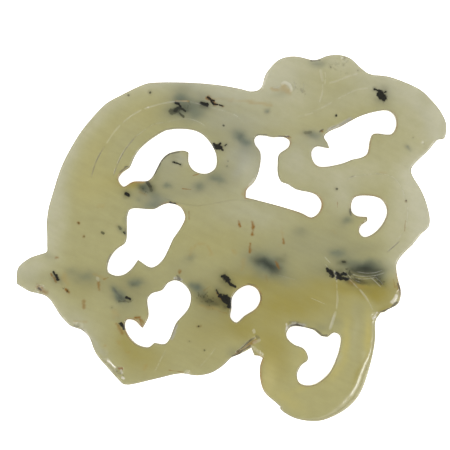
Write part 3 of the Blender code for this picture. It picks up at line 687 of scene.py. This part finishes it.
foot_inward = np.clip(distance_to(back_plan, RIM, RIM_NEXT)[0] / FOOT_WIDTH, 0, 1)
back_z = FOOT_RISE * (1 - np.sqrt(1 - (1 - foot_inward) ** 2))

wall = wall_rows(face_z[face_rim])
blocks = [np.column_stack([face_plan, face_z]), *wall[:-1], np.column_stack([back_plan, back_z])]
starts = np.cumsum([0] + [len(block) for block in blocks])
rows = [face_rim] + [starts[k] + np.arange(len(RIM)) for k in range(1, len(wall))] + [starts[-2] + back_rim]
POINTS = np.concatenate(blocks)
FACES = np.concatenate(
    [face_triangles, back_triangles[:, ::-1] + starts[-2]]
    + [wall_faces(upper, lower) for upper, lower in zip(rows[:-1], rows[1:])]
)
IS_FACE = np.arange(len(POINTS)) < len(face_plan)
print("points", len(POINTS), "triangles", len(FACES), "heights", POINTS[:, 2].min(), POINTS[:, 2].max())


# %% Make the mesh
def placed(name, data):
    """A new object of the scene that carries this mesh, light or camera."""
    obj = bpy.data.objects.new(name, data)
    bpy.context.scene.collection.objects.link(obj)
    return obj


mesh = bpy.data.meshes.new("jade_carving")
mesh.vertices.add(len(POINTS))
mesh.vertices.foreach_set("co", (POINTS * MM).ravel())
mesh.loops.add(3 * len(FACES))
mesh.loops.foreach_set("vertex_index", FACES.ravel())
mesh.polygons.add(len(FACES))
mesh.polygons.foreach_set("loop_start", np.arange(0, 3 * len(FACES), 3))
mesh.update(calc_edges=True)
mesh.validate()
mesh.shade_smooth()
carving = placed("jade_carving", mesh)
corner_a, corner_b, corner_c = (POINTS[FACES[:, k]] for k in range(3))
volume = (corner_a * np.cross(corner_b, corner_c)).sum() / 6  # mm3, a sum of tetrahedra
print("volume", round(volume / 1000, 2), "cubic centimetres, facing out:", volume > 0)

# %% [markdown]
# ## Where the colours lie
# This stone is celadon green, with honey-coloured zones where iron seeped in, paler zones, a bluish mist,
# dark clouds of deep inclusions, black specks at the surface and rust in hair cracks. Some colour is painted
# light and shade: a paler glow along the outer edge where light shines through the thinner stone, bright
# bands and rims on the tail, highlights on a few worn edges, and shade along the edges and on slanted walls.
# An unwrapped painting could hold them, but only as sharp as its grid. Here each kind is a share from 0 to 1
# on every point of the mesh, worked out from a few strokes and soft spots, and the material turns shares into
# colour.

# %% Soft zones of the stone
# Soft spots: (x, y, half length, half width, strength), and a tilt in degrees where the spot has one
HONEY = [
    (10.5, -13, 8.5, 4.2, 0.66), (2, -18, 4, 2.6, 0.52, -30), (8, -21.5, 3.5, 5, 0.6),
    (18, -12.5, 7, 4, 0.34, -10), (29, -10.6, 3.4, 2.2, 0.92, -20), (24.8, -9.5, 5, 1.8, 0.8),
    (-18, -23.8, 6, 3.6, 0.48, -25), (-21, -20.5, 1.8, 3, 0.4, 20), (-3, -12.5, 5.5, 3, 0.55, -20),
    (-3, -18.5, 8, 4, 0.34, 10), (5.5, -8.6, 4, 1.8, 0.62, -15), (1, -8.5, 3, 2, 0.4),
    (-16, 24.5, 4, 2.5, 0.12, 25), (-23, 11, 3, 2, 0.2), (-19, 10.6, 2.5, 0.9, 0.7), (-29, -9, 5, 3, 0.22),
    (-21, -10, 4, 3, 0.28), (9.5, 21.5, 8, 1.6, 0.12), (-2, -1, 8, 4, 0.15), (9, -26, 2.2, 3.5, 0.35, 20),
    # (25.6, -27) is painted shade: a darker olive band along the tail's outer edge, outside the streak
    (25.6, -27, 0.9, 3.6, 0.44, -18), (18, -8.5, 4, 2, 0.3), (-5, -24.5, 5, 1.6, 0.12, 15),
    (30.6, -13.8, 2, 0.8, 0.6, 25), (32.4, -9.6, 1.2, 1.5, 0.75),
]
# Golden zones of the stone, and on the tail painted light: bright yellow bands along its rounded strands,
# where light falls on their curve, and bright yellow rims at its openings, painted as light shining through
# the thin stone
GOLD = [
    (7.5, -28, 1.4, 4, 0.6), (11.5, -32.5, 4, 1.2, 0.4, -35), (22.9, -20.5, 0.8, 5, 0.65, -5),
    (27.4, -19, 0.8, 4.5, 0.8), (21, -26.5, 0.9, 2.4, 0.5, -30), (27, -22.5, 0.8, 3, 0.32, -10),
    (17, -28, 12, 9, 0.22), (-27.5, 10, 5, 3.5, 0.25, 20), (-28, 17, 3, 6, 0.22, -30),
    (-19, 24, 6, 2.5, 0.18, 35), (15, -29.6, 4, 0.6, 0.35, 25), (14.5, -22.5, 1, 2, 0.3, -30),
    (24.5, -13, 2, 4, 0.2, 10),
]
PALE = [
    (38.6, 5, 4, 8, 0.85, 10), (34, 6, 3, 6, 0.5), (36.5, 11.5, 3, 3.5, 0.6), (41.5, 23, 2.5, 4, 0.6),
    (36.5, 24, 5, 6, 0.45, 20), (35, 28.5, 6, 2.6, 0.4, -35), (10, 33, 4, 3.5, 0.55, 20),
    (21.5, 34, 4, 2.5, 0.4, -15), (24, 28, 6, 3, 0.35, 20), (13, 28.8, 6, 4, 0.45), (-35, 5, 2.4, 9, 0.45),
    (-33.5, 14, 1.5, 5, 0.35, -20), (-26, 24.5, 6, 1.2, 0.25, 45), (-12, 30.2, 5, 0.9, 0.3),
    (-1, 28.8, 5, 1.6, 0.45, -5), (-39.5, -6, 3, 2.5, 0.4), (-29.5, -16.5, 2.4, 5, 0.06, 35),
    (-27.3, -21.5, 2.8, 0.6, 0.28, -53), (21, 13, 8, 4, 0.42), (12.5, 15.5, 3, 4, 0.35), (28, 13, 6, 3, 0.25),
    (33, -4, 2, 2.4, 0.2, -30), (3.6, 12.5, 1.4, 3.5, 0.45, -10), (24.9, -18, 0.7, 5, 0.15),
    # (26.6, -23.6) is a painted highlight that widens the top of the streak on the tail's outer edge
    (26.6, -23.6, 0.5, 1.4, 0.3, -15), (21.6, -23.9, 0.5, 1.6, 0.35, -15), (30, 18, 6, 4, 0.2),
    (22, 8, 2.2, 4, 0.4), (5, 5, 6, 2.5, 0.25, -15), (10, 24.5, 8, 3, 0.22), (-10, 16, 2, 1.4, 0.3),
    (8, -27.5, 1.6, 3, 0.18), (-25, -11.5, 4, 3, 0.1), (32, 1, 3, 3.5, 0.3),
]
MIST = [
    (2.5, 15.5, 4.5, 5.5, 0.9), (0, 24, 9, 3.5, 0.6, -5), (13, 16, 4, 5, 0.45), (-3, 28.8, 8, 2.2, 0.6),
    (10, 31, 6, 4.5, 0.5), (-12.5, 15, 3, 3, 0.5), (-15, 7.2, 3, 1.6, 0.6), (4, 5, 9, 3, 0.35),
    (-6, 10, 8, 3, 0.3), (30, 29.5, 6, 3, 0.4, -20), (21, 10, 5, 5, 0.3), (17, -1, 8, 3, 0.15),
    (-30.4, -17.2, 2.6, 3.6, 0.3, 35), (-41, -7, 2, 3, 0.45), (-27.3, -21.5, 2.8, 0.8, 0.5, -53),
    (-9.7, 16.4, 1.4, 1.2, 0.55), (18, 19.5, 3, 2, 0.55), (-20, 22, 5, 2.5, 0.15, 40),
    (-34, 12, 2, 10, 0.25, -15), (-8, 30.6, 9, 0.8, 0.55, -2), (40.8, 23, 1.8, 4.5, 0.5, 5),
    (36.5, 28.2, 5.5, 1.4, 0.4, -38), (38.8, 4, 1.6, 5, 0.5),
]
SHADE = [
    (-2, 21.5, 5, 3.5, 0.2), (-3.5, 27.5, 6, 2, 0.24), (-10, 30, 3.5, 1.4, 0.3), (-12, 13, 3.5, 3, 0.22),
    (-7, 10, 8, 2, 0.28, 10), (-3, 13, 3, 2, 0.3), (-20, -9.7, 5, 3, 0.47), (-28, -8, 5, 2.5, 0.32),
    (-6, -10.5, 4, 3, 0.4), (15, -1, 7, 3.5, 0.34), (6.8, -4.9, 4.8, 3.4, 0.6, -15), (22, 2, 3, 4, 0.22),
    (-16, 8, 4, 2, 0.42), (-10, 25.5, 4, 3, 0.34), (-10.5, -6.5, 3, 3, 0.25), (26, -2.5, 5, 1.6, 0.4),
    (18, -6, 4, 2.5, 0.4), (11, -8, 4, 2, 0.35), (-4, -16, 5, 3, 0.28), (-1, -7.5, 4, 2, 0.25),
    (25.5, -14.5, 2, 3, 0.2), (-37, -8, 3, 2, 0.18), (-36.4, -3.4, 1.3, 0.7, 0.34),
    (-20.2, -13.4, 3, 2.6, 0.32), (16.4, 20.3, 1.8, 1.2, 0.16), (-2, -14.6, 2.4, 0.9, 0.2),
    (1.8, -6.8, 1.6, 1, 0.22), (14, -16.9, 1.8, 0.6, 0.45), (18.2, -18.2, 1.6, 0.9, 0.45, -20),
    (20.4, -17.1, 1.2, 1, 0.32), (-22, -16, 1.6, 1, 0.34), (-5.8, 28.8, 1.6, 0.8, 0.36),
    (10.1, 28.8, 1.6, 0.8, 0.34), (2.2, -21.4, 1.2, 0.6, 0.4, 40), (-2.3, -10, 1.2, 0.8, 0.36),
    (5.8, -7.8, 1.4, 0.8, 0.3), (-14.9, 13.1, 0.9, 1.6, 0.52, -30), (-24.6, -26.2, 1.6, 0.7, 0.4, -45),
    (0.4, -23.2, 1.3, 0.8, 0.48, 30), (21.8, -5.3, 1.6, 0.9, 0.28), (-11, 16.3, 1.6, 0.8, 0.5),
    (-14.4, 11.4, 1.6, 1.4, 0.2), (27.8, -10.2, 1.8, 1, 0.24), (25, -9.5, 2, 0.7, 0.36, -5),
    (-15.8, -5.8, 1.2, 0.6, 0.2), (4.4, 18.8, 1.2, 2.5, 0.3), (21, 28, 5, 2, 0.12, 25),
]
CLOUD = [
    (7.3, -5.2, 3.3, 1.9, 0.82, -27), (26.6, -5.7, 4.2, 1.7, 0.8, -5), (29.6, -7.7, 2.2, 1.4, 0.54, -40),
    (21.3, -3, 1.9, 1.1, 0.6), (20.2, -3.2, 0.9, 0.8, 0.18), (1.6, 20.3, 1.4, 1.1, 0.74, -35),
    (2.9, 19.3, 1, 0.8, 0.65, -30), (1.5, 21.2, 1.8, 1, 0.25), (2.8, 18, 2, 1.6, 0.22),
    (-10.1, 28, 1.6, 1.2, 0.76), (-9.6, 29.8, 1.8, 1.1, 0.2), (-7.9, 26.2, 2.8, 1.8, 0.6, -10),
    (-7, 24.6, 2, 1.1, 0.42), (-11, 25.4, 2.4, 1.4, 0.4, 20), (-3.3, 12.1, 1.4, 1, 0.62),
    (-1.9, 11.5, 1.1, 0.8, 0.45), (-6.2, 10.4, 1.2, 0.9, 0.55), (-12.6, 10.6, 0.9, 0.6, 0.6),
    (23.8, -4.6, 1.1, 0.8, 0.2), (-15.4, 6.6, 2.2, 0.9, 0.55, 10), (-15, 8.4, 1.6, 1.2, 0.4, -30),
    (-17.3, 10, 1.3, 1.1, 0.72), (-18.5, 7.7, 0.6, 0.5, 0.35), (16.5, 20.6, 1.5, 0.8, 0.48, -20),
    (17.5, 34.9, 1.6, 0.9, 0.5), (23.1, 3.5, 1.1, 0.9, 0.6), (13.9, 1.2, 1.4, 1, 0.3),
    (-29, -7.8, 2, 1.2, 0.45), (-31.8, -6.8, 1.5, 1, 0.3), (-19.1, -8.9, 1.4, 1, 0.74),
    (-23.1, -10.4, 1.3, 0.7, 0.75, -55), (-22.2, -12, 1.5, 1.2, 0.8, -40), (-6.9, -9.8, 1.2, 0.9, 0.8, -20),
    (-8, -9.3, 0.9, 0.5, 0.5), (-8.2, -3.9, 1.1, 0.9, 0.4), (7.2, 25.4, 0.6, 0.5, 0.7),
    (35.5, 18.1, 0.9, 0.42, 0.62, -42), (-21.9, 1.8, 1, 0.6, 0.5, -40), (-21, 3.8, 0.4, 1.6, 0.25),
    (-6, -11, 1.2, 0.9, 0.4),
]
GLOOM = [
    (7.8, -5.6, 1.8, 0.95, 0.8, -35), (6.1, -4.6, 1.8, 0.8, 0.56, -20), (9.3, -6.4, 1, 0.7, 0.35, -20),
    (27, -6.2, 2.6, 1.05, 0.88, -4), (29.6, -6.6, 1.3, 0.6, 0.4), (24.9, -6.4, 1.6, 0.7, 0.62),
    (29.5, -8.3, 1.5, 0.8, 0.42, -45), (25.9, -8.6, 1.6, 0.5, 0.75, -15), (26.8, -7.3, 2.8, 0.55, 0.6, -4),
    (9.9, -4.2, 1.1, 0.8, 0.34), (27.9, -8.6, 1.7, 0.8, 0.36), (-4.5, -12.6, 2, 1.2, 0.74, -15),
    (-5.6, -11.7, 0.8, 0.6, 0.35), (-2.9, -13.2, 0.9, 0.6, 0.35), (-17.7, 9.9, 0.9, 0.9, 0.5),
    (-9.3, 26.1, 1.2, 1, 0.42), (15.4, 21.1, 1.5, 0.5, 0.28), (-22, -12.3, 0.9, 0.7, 0.3),
    (-19.3, -9.2, 0.6, 0.4, 0.25), (-1.5, -12.4, 2.4, 1.6, 0.6, -45), (-0.9, -8.7, 2, 1.1, 0.48, -45),
    (-1, -13.7, 0.6, 0.5, 0.55), (1.8, 20.3, 0.7, 0.6, 0.12, -45), (30.3, 28.5, 1.6, 1.9, 0.45),
    (-11.1, 25.4, 1.4, 0.8, 0.5, 5), (-5.4, 26.6, 1.5, 0.8, 0.5, -20), (23.9, 5.3, 0.4, 0.6, 0.55),
    (24, -8.8, 1.4, 0.7, 0.52, -20), (21.6, -7.3, 2.6, 1, 0.62, -20), (22.3, -4.9, 1.4, 0.6, 0.5),
    (-20.7, 8.8, 1.1, 0.8, 0.4, -20), (-34.8, -8.2, 1.3, 0.7, 0.44, -55), (-15.9, 10.3, 1.3, 0.9, 0.48, -50),
    (-2.2, 18.3, 1.5, 0.9, 0.36),
]
# Where iron has tinted the very edge
AMBER = [
    (18.3, 7.5, 1.5, 4, 0.9), (27.8, 6.5, 5.5, 5, 0.5), (33.4, 23, 1.5, 4, 0.5), (5, -11.5, 3, 4.5, 0.8),
    (-22, -19.5, 2.5, 3, 0.8), (-18.5, -16.6, 2, 1.6, 0.9), (-19.5, 11.2, 3.5, 1, 0.9), (2.6, 9, 1.2, 2, 0.9),
    (11.6, 19.8, 1.2, 1.6, 0.8), (27.7, 18, 1, 3, 0.5), (6.2, -27, 1.2, 4, 1), (33.6, -9.5, 1.5, 2.5, 0.9),
    (-22.5, 12.8, 1.5, 1.5, 0.7), (-12, 7, 2, 0.8, 0.6), (17, -29, 6, 2, 0.25, 25), (15, 14.3, 4, 1, 0.3),
    (-9, 5, 0.9, 3, 0.5), (14, 4.5, 5, 0.9, 0.5, -20),
]


def soft_spots(places, spots):
    """The union of the spots' shares, 1 - product of (1 - share). Each is a bell over the half lengths."""
    clear = np.ones(len(places))
    for x, y, half_length, half_width, strength, *tilt in spots:
        turn = math.radians(tilt[0] if tilt else 0)
        dx, dy = (places - PLAN_ZERO - (x, y)).T
        u = (dx * math.cos(turn) + dy * math.sin(turn)) / half_length
        v = (dy * math.cos(turn) - dx * math.sin(turn)) / half_width
        clear *= 1 - strength * np.exp(-(u * u + v * v))
    return 1 - clear


def wandered(places, size, reach):
    """The places moved a little by noise, which makes the outline of a soft spot irregular."""
    return places + reach * np.column_stack([rough_noise(places, size, 41), rough_noise(places, size, 51)])


plan_of = POINTS[:, :2]
strayed = wandered(plan_of, size=1.4, reach=0.45)
far_strayed = wandered(plan_of, size=4.0, reach=1.2)
EDGE_GLOW_WIDTH, EDGE_GLOW_FADE = 5.0, 1.6  # mm of a paler band painted along the outer edge, a painted glow of light through the thinner stone, and a power
edge_glow = np.clip(1 - from_loop(plan_of, OUTER) / EDGE_GLOW_WIDTH, 0, 1) ** EDGE_GLOW_FADE
rightward, downward = plan_of[:, 0], -plan_of[:, 1]
edge_glow *= 1 - 0.9 * ease(rightward, -14, 2) * ease(downward, 6, 14)  # hardly any of the painted glow is on the tail
edge_glow *= 1 - 0.8 * ease(downward, 15, 24)
shares = {
    "honey": soft_spots(far_strayed, HONEY),
    "gold": soft_spots(strayed, GOLD),
    "mist": soft_spots(far_strayed, MIST),
    # The pale share also holds half of the painted glow along the outer edge
    "pale": np.clip(soft_spots(far_strayed, PALE) + 0.5 * edge_glow, 0, 1),
    "shade": soft_spots(far_strayed, SHADE),
    "cloud": soft_spots(strayed, CLOUD),
    "gloom": soft_spots(strayed, GLOOM),
}
print({name: round(float(share.mean()), 3) for name, share in shares.items()})

# %% Sharp marks on the face only
from_rim = np.minimum(from_outer, from_inner)
rim_width = np.where(from_outer < from_inner, edge_size(face_plan, ROUNDED)[0], EDGE_WIDTH)
inward = from_rim / rim_width
PATCH_SIZE, PATCH_SEED = 1.7, 61  # mm
patchy = 0.5 + 0.5 * rough_noise(face_plan, PATCH_SIZE, PATCH_SEED)
DUST_SPARSE = 0.75  # how far the level is lowered, so that only grains are left
HALO_WIDTH, HALO_SHARE = 0.35, 0.3  # mm, and share of the strength, of the grey round each black mark
HALO = [(*ends, radius + HALO_WIDTH, HALO_SHARE * strength) for *ends, radius, strength in INK]
# Each kind of mark: its strokes, how ragged its edge is, the grain of that in mm, and how softly it fades
MARKS = {
    "blush": (BLUSH, 0.8, 1.1, 1.0),
    "rust": (RUST, 0.6, 0.8, 1.1),
    "bruise_and_highlight": (BRUISES_AND_HIGHLIGHTS, 0.7, 0.6, 0.6),
    "soil": (SOIL_AND_SHADOW, 0.6, 0.7, 0.5),
    "ink": (INK, 0.65, 0.55, 0.35),
    "halo": (HALO, 0.5, 0.8, 1.0),
    "dust": (DUST, 1.6, 0.36, 0.4, DUST_SPARSE),
}
marks = {name: stroke_share(face_plan, *how) for name, how in MARKS.items()}
slanted = sum(near_share(face_plan, spot) for spot in SLANTED)
# Slanted walls and amber fade out between two distances in mm, the rim between two shares of its own width
on_face = {
    # The slant share paints shade on the slanting saw walls of a few openings
    "slant": ease(slanted, 0, 0.5) * ease(from_inner + 0.25 * patchy, 1.0, 0.55),
    # The rim share is a thin dark line along every edge: partly dirt in the edge, partly painted shade of the
    # edge
    "rim": ease(inward, 0.8, 0.1) * np.clip(0.35 + patchy, 0, 1) * (EDGE_WIDTH / rim_width) ** 0.4,
    "amber": ease(from_rim, 0.55, 0.05) * soft_spots(face_plan, AMBER) * np.clip(0.4 + patchy, 0, 1),
    "blush": marks["blush"],
    "rust": marks["rust"],
    # Pale bruised stone, and painted highlights on a few worn edges
    "bruise_and_highlight": marks["bruise_and_highlight"],
    "cut": line_pale,
    # The soil share holds dirt in the cuts and along edges, and painted shadow lines along some edges
    "soil": np.maximum(line_soil, marks["soil"]),
    "ink": np.maximum.reduce([marks["ink"], marks["dust"], marks["halo"]]),
}
for name, share in on_face.items():
    shares[name] = np.zeros(len(POINTS))
    shares[name][IS_FACE] = share
for name, share in shares.items():
    mesh.attributes.new(name, "FLOAT", "POINT").data.foreach_set("value", share.astype(np.float32))
print("marks", {name: int((share > 0.5).sum()) for name, share in shares.items()})


# %% [markdown]
# ## Nephrite
# Nephrite is a felt of fine amphibole fibres. Ground with wet sand and polished by hand it gets a soft,
# slightly greasy gloss, light goes a millimetre or so into it, and under the gloss the colour is faintly
# mottled. A glass shader with a volume would be true to that but slow and noisy, so a Principled surface
# with a little subsurface scattering carries it, and its colour is mixed from the shares on the mesh.

# %% Helpers for colours and nodes
def linear(hex_colour):
    """An sRGB hex value as linear red, green, blue and alpha."""
    values = [int(hex_colour[k : k + 2], 16) / 255 for k in (1, 3, 5)]
    return [v / 12.92 if v <= 0.04045 else ((v + 0.055) / 1.055) ** 2.4 for v in values] + [1.0]


def add(tree, kind, inputs, **settings):
    """A new node with its settings. Each input, by name or number, gets a value or a link from an output."""
    node = tree.nodes.new(kind)
    for name, value in settings.items():
        setattr(node, name, value)
    for socket, value in inputs.items():
        if isinstance(value, bpy.types.NodeSocket):
            tree.links.new(value, node.inputs[socket])
        else:
            node.inputs[socket].default_value = value
    return node


# %% The nephrite's colours
STONE_COLOURS = {  # share: (its colour, how much of it at full share, whether the felt makes it uneven)
    "honey": ("#968833", 1.0, True),
    "gold": ("#beb168", 0.9, False),
    "mist": ("#a5a594", 0.9, True),
    "pale": ("#c2bfa4", 0.9, True),
    "shade": ("#7a7b62", 0.85, True),
    "cloud": ("#4d5c56", 0.92, False),
    "gloom": ("#20241a", 0.95, False),
    # slant: painted shade on the slanting saw walls
    "slant": ("#9d9a90", 0.75, False),
    # rim: dirt and painted shade along the edges
    "rim": ("#655b34", 0.70, False),
    "amber": ("#936a20", 0.85, False),
    "blush": ("#a5823a", 0.9, False),
    # gold: golden stone, and painted light on the tail's strands and opening rims
    "rust": ("#875a18", 0.95, False),
    # Nearly white: bruised stone, and painted highlights on a few worn edges
    "bruise_and_highlight": ("#dcd6c4", 0.9, False),
    "cut": ("#d2cebb", 0.34, False),
    # soil: dirt, and painted shadow lines along some edges
    "soil": ("#33291a", 0.85, False),
    "ink": ("#11110b", 0.97, False),
}

nephrite = bpy.data.materials.new("polished_nephrite")
nephrite.use_nodes = True
tree = nephrite.node_tree
tree.nodes.clear()
place = add(tree, "ShaderNodeTexCoord", {}).outputs["Object"]
# The felt's tufts are about 2 mm across, its fibres under 0.1 mm, drawn here at 0.5 mm so that they show
# Flow bands in the stone, about 1 mm thick and 6 mm long, that run down to the right
FLOW = {"Vector": place, "Rotation": (0, 0, math.radians(-25)), "Scale": (6, 1, 1)}
flow = add(tree, "ShaderNodeMapping", FLOW, vector_type="TEXTURE").outputs[0]
# Patterns: (where it reads, size in mm, layers, how much each layer adds)
PATTERNS = [(place, 2.2, 3, 0.55), (place, 0.5, 4, 0.6), (flow, 1.1, 2, 0.5), (place, 1.4, 2, 0.5)]
felt, fibres, bands, swell = (
    add(tree, "ShaderNodeTexNoise", {"Vector": where, "Scale": 1 / (size * MM), "Detail": layers,
                                     "Roughness": gain}).outputs["Fac"]
    for where, size, layers, gain in PATTERNS
)

stone = add(tree, "ShaderNodeMix", {0: felt, 6: linear("#a29d6e"), 7: linear("#aea97a")},
            data_type="RGBA").outputs[2]
uneven = add(tree, "ShaderNodeMapRange", {"Value": felt, "To Min": 0.72, "To Max": 1.28}).outputs[0]
for name, (colour, most, felted) in STONE_COLOURS.items():
    share = add(tree, "ShaderNodeAttribute", {}, attribute_name=name).outputs["Fac"]
    share = add(tree, "ShaderNodeMath", {0: share, 1: most}, operation="MULTIPLY")
    if felted:
        share = add(tree, "ShaderNodeMath", {0: share.outputs[0], 1: uneven},
                    operation="MULTIPLY", use_clamp=True)
    stone = add(tree, "ShaderNodeMix", {0: share.outputs[0], 6: stone, 7: linear(colour)},
                data_type="RGBA").outputs[2]
for pattern, swing in ((fibres, 0.015), (bands, 0.025)):  # each lightens and darkens the stone by its swing
    factor = add(tree, "ShaderNodeMapRange", {"Value": pattern, "From Min": 0.3, "From Max": 0.7,
                                              "To Min": 1 - swing, "To Max": 1 + swing}).outputs[0]
    stone = add(tree, "ShaderNodeVectorMath", {0: stone, "Scale": factor}, operation="SCALE").outputs[0]

# %% The nephrite's gloss
rough = add(tree, "ShaderNodeMapRange", {"Value": fibres, "To Min": 0.17, "To Max": 0.25}).outputs[0]
for name, more in (("cut", 0.30), ("soil", 0.35), ("slant", 0.20), ("rim", 0.15)):
    share = add(tree, "ShaderNodeAttribute", {}, attribute_name=name).outputs["Fac"]
    rough = add(tree, "ShaderNodeMath", {0: share, 1: more, 2: rough}, operation="MULTIPLY_ADD",
                use_clamp=True).outputs[0]
relief = add(tree, "ShaderNodeMath", {0: fibres, 1: 0.3, 2: swell}, operation="MULTIPLY_ADD").outputs[0]
ripple = add(tree, "ShaderNodeBump", {"Height": relief, "Strength": 0.2, "Distance": 0.015 * MM})
polish = add(tree, "ShaderNodeBsdfPrincipled", {
    "Base Color": stone,
    "Roughness": rough,
    "Normal": ripple.outputs["Normal"],
    "IOR": 1.6,
    "Subsurface Weight": 0.2,
    "Subsurface Radius": (1.0, 0.95, 0.6),
    "Subsurface Scale": 0.4 * MM,
})
add(tree, "ShaderNodeOutputMaterial", {"Surface": polish.outputs["BSDF"]})
mesh.materials.append(nephrite)
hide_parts(SLAB)
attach(carving, "root")
print("material nodes", len(tree.nodes))

# %% [markdown]
# ## The studio
# The carving lies on a plain pale table under soft light. Straight above it there is nothing bright, or its
# flat face would mirror that and lose its colour, and low down the room is dim, so that the edges don't
# glow. Two softboxes, 40 degrees above the table on the right and on the lower left, put thin streaks along
# the worn edges.

# %% Table
TABLE_SIDE = 3.0  # metres
TABLE_GAP = 0.02 * MM  # so that the table's face and the slab's back don't share one plane
table_mesh = bpy.data.meshes.new("table")
corners = np.array([[-1, -1, 0], [1, -1, 0], [1, 1, 0], [-1, 1, 0]]) * TABLE_SIDE / 2
table_mesh.from_pydata(corners.tolist(), [], [(0, 1, 2, 3)])
table = placed("table", table_mesh)
table.location.z = -TABLE_GAP
paper = bpy.data.materials.new("white_card")
paper.use_nodes = True
card = paper.node_tree.nodes["Principled BSDF"]
for socket, value in {"Base Color": linear("#f7f7f5"), "Roughness": 0.9, "Specular IOR Level": 0.1,
                      "Emission Color": linear("#ffffff"), "Emission Strength": 0.85}.items():
    card.inputs[socket].default_value = value
table_mesh.materials.append(paper)

# %% Lights
# Softboxes: (name, azimuth, elevation, distance, width, height, watts)
SOFTBOXES = [
    ("right_strip", -28, 40, 1.0, 0.34, 0.30, 3.15),
    ("left_strip", -140, 40, 1.0, 0.26, 0.18, 1.6),
]


def softbox(name, azimuth, elevation, distance, width, height, watts):
    """An area light that looks at the carving. Azimuth runs from +X to +Y, elevation up from the table."""
    a, e = math.radians(azimuth), math.radians(elevation)
    light = bpy.data.lights.new(name, "AREA")
    light.shape, light.size, light.size_y, light.energy = "RECTANGLE", width, height, watts
    obj = placed(name, light)
    obj.location = Vector((math.cos(a) * math.cos(e), math.sin(a) * math.cos(e), math.sin(e))) * distance
    obj.rotation_euler = obj.location.to_track_quat("Z", "Y").to_euler()
    obj.visible_diffuse = False  # it shows in the gloss only, and the room does the rest


for box in SOFTBOXES:
    softbox(*box)

# %% Room
ROOM_LIGHT = 1.74
world = bpy.data.worlds.new("studio")
world.use_nodes = True
room = world.node_tree
direction = add(room, "ShaderNodeTexCoord", {}).outputs["Generated"]
up = add(room, "ShaderNodeSeparateXYZ", {"Vector": direction}).outputs["Z"]
# Bands of brightness: (where each starts and ends on the way up from the table, its values there)
low_dim, top_dim = (
    add(room, "ShaderNodeMapRange", {"Value": up, "From Min": a, "From Max": b, "To Min": c, "To Max": d},
        interpolation_type="SMOOTHSTEP").outputs["Result"]
    for a, b, c, d in ((0.0, 0.45, 0.1, 1.0), (0.6, 0.95, ROOM_LIGHT, 0.22))
)
glow = room.nodes["Background"]
glow.inputs["Color"].default_value = linear("#ffffff")
level = add(room, "ShaderNodeMath", {0: low_dim, 1: top_dim}, operation="MULTIPLY").outputs[0]
room.links.new(level, glow.inputs["Strength"])
bpy.context.scene.world = world
bpy.context.scene.view_settings.view_transform = "Standard"

# %% Camera
# The camera hangs straight above with +Y up, far off with a long lens, so that the walls of the openings
# hardly show. It looks at the middle of the view, a little left of and above the middle of the slab.
VIEW_WIDTH = 89.95 * MM
CAMERA_HEIGHT = 0.9  # metres above the face
SENSOR = 36.0  # millimetres
camera_data = bpy.data.cameras.new("camera")
camera_data.sensor_width = SENSOR
camera_data.lens = SENSOR * CAMERA_HEIGHT / VIEW_WIDTH
camera = placed("camera", camera_data)
camera.location = (-1.29 * MM, 2.60 * MM, THICKNESS * MM + CAMERA_HEIGHT)
bpy.context.scene.camera = camera

# %% Finish
bpy.context.view_layer.update()
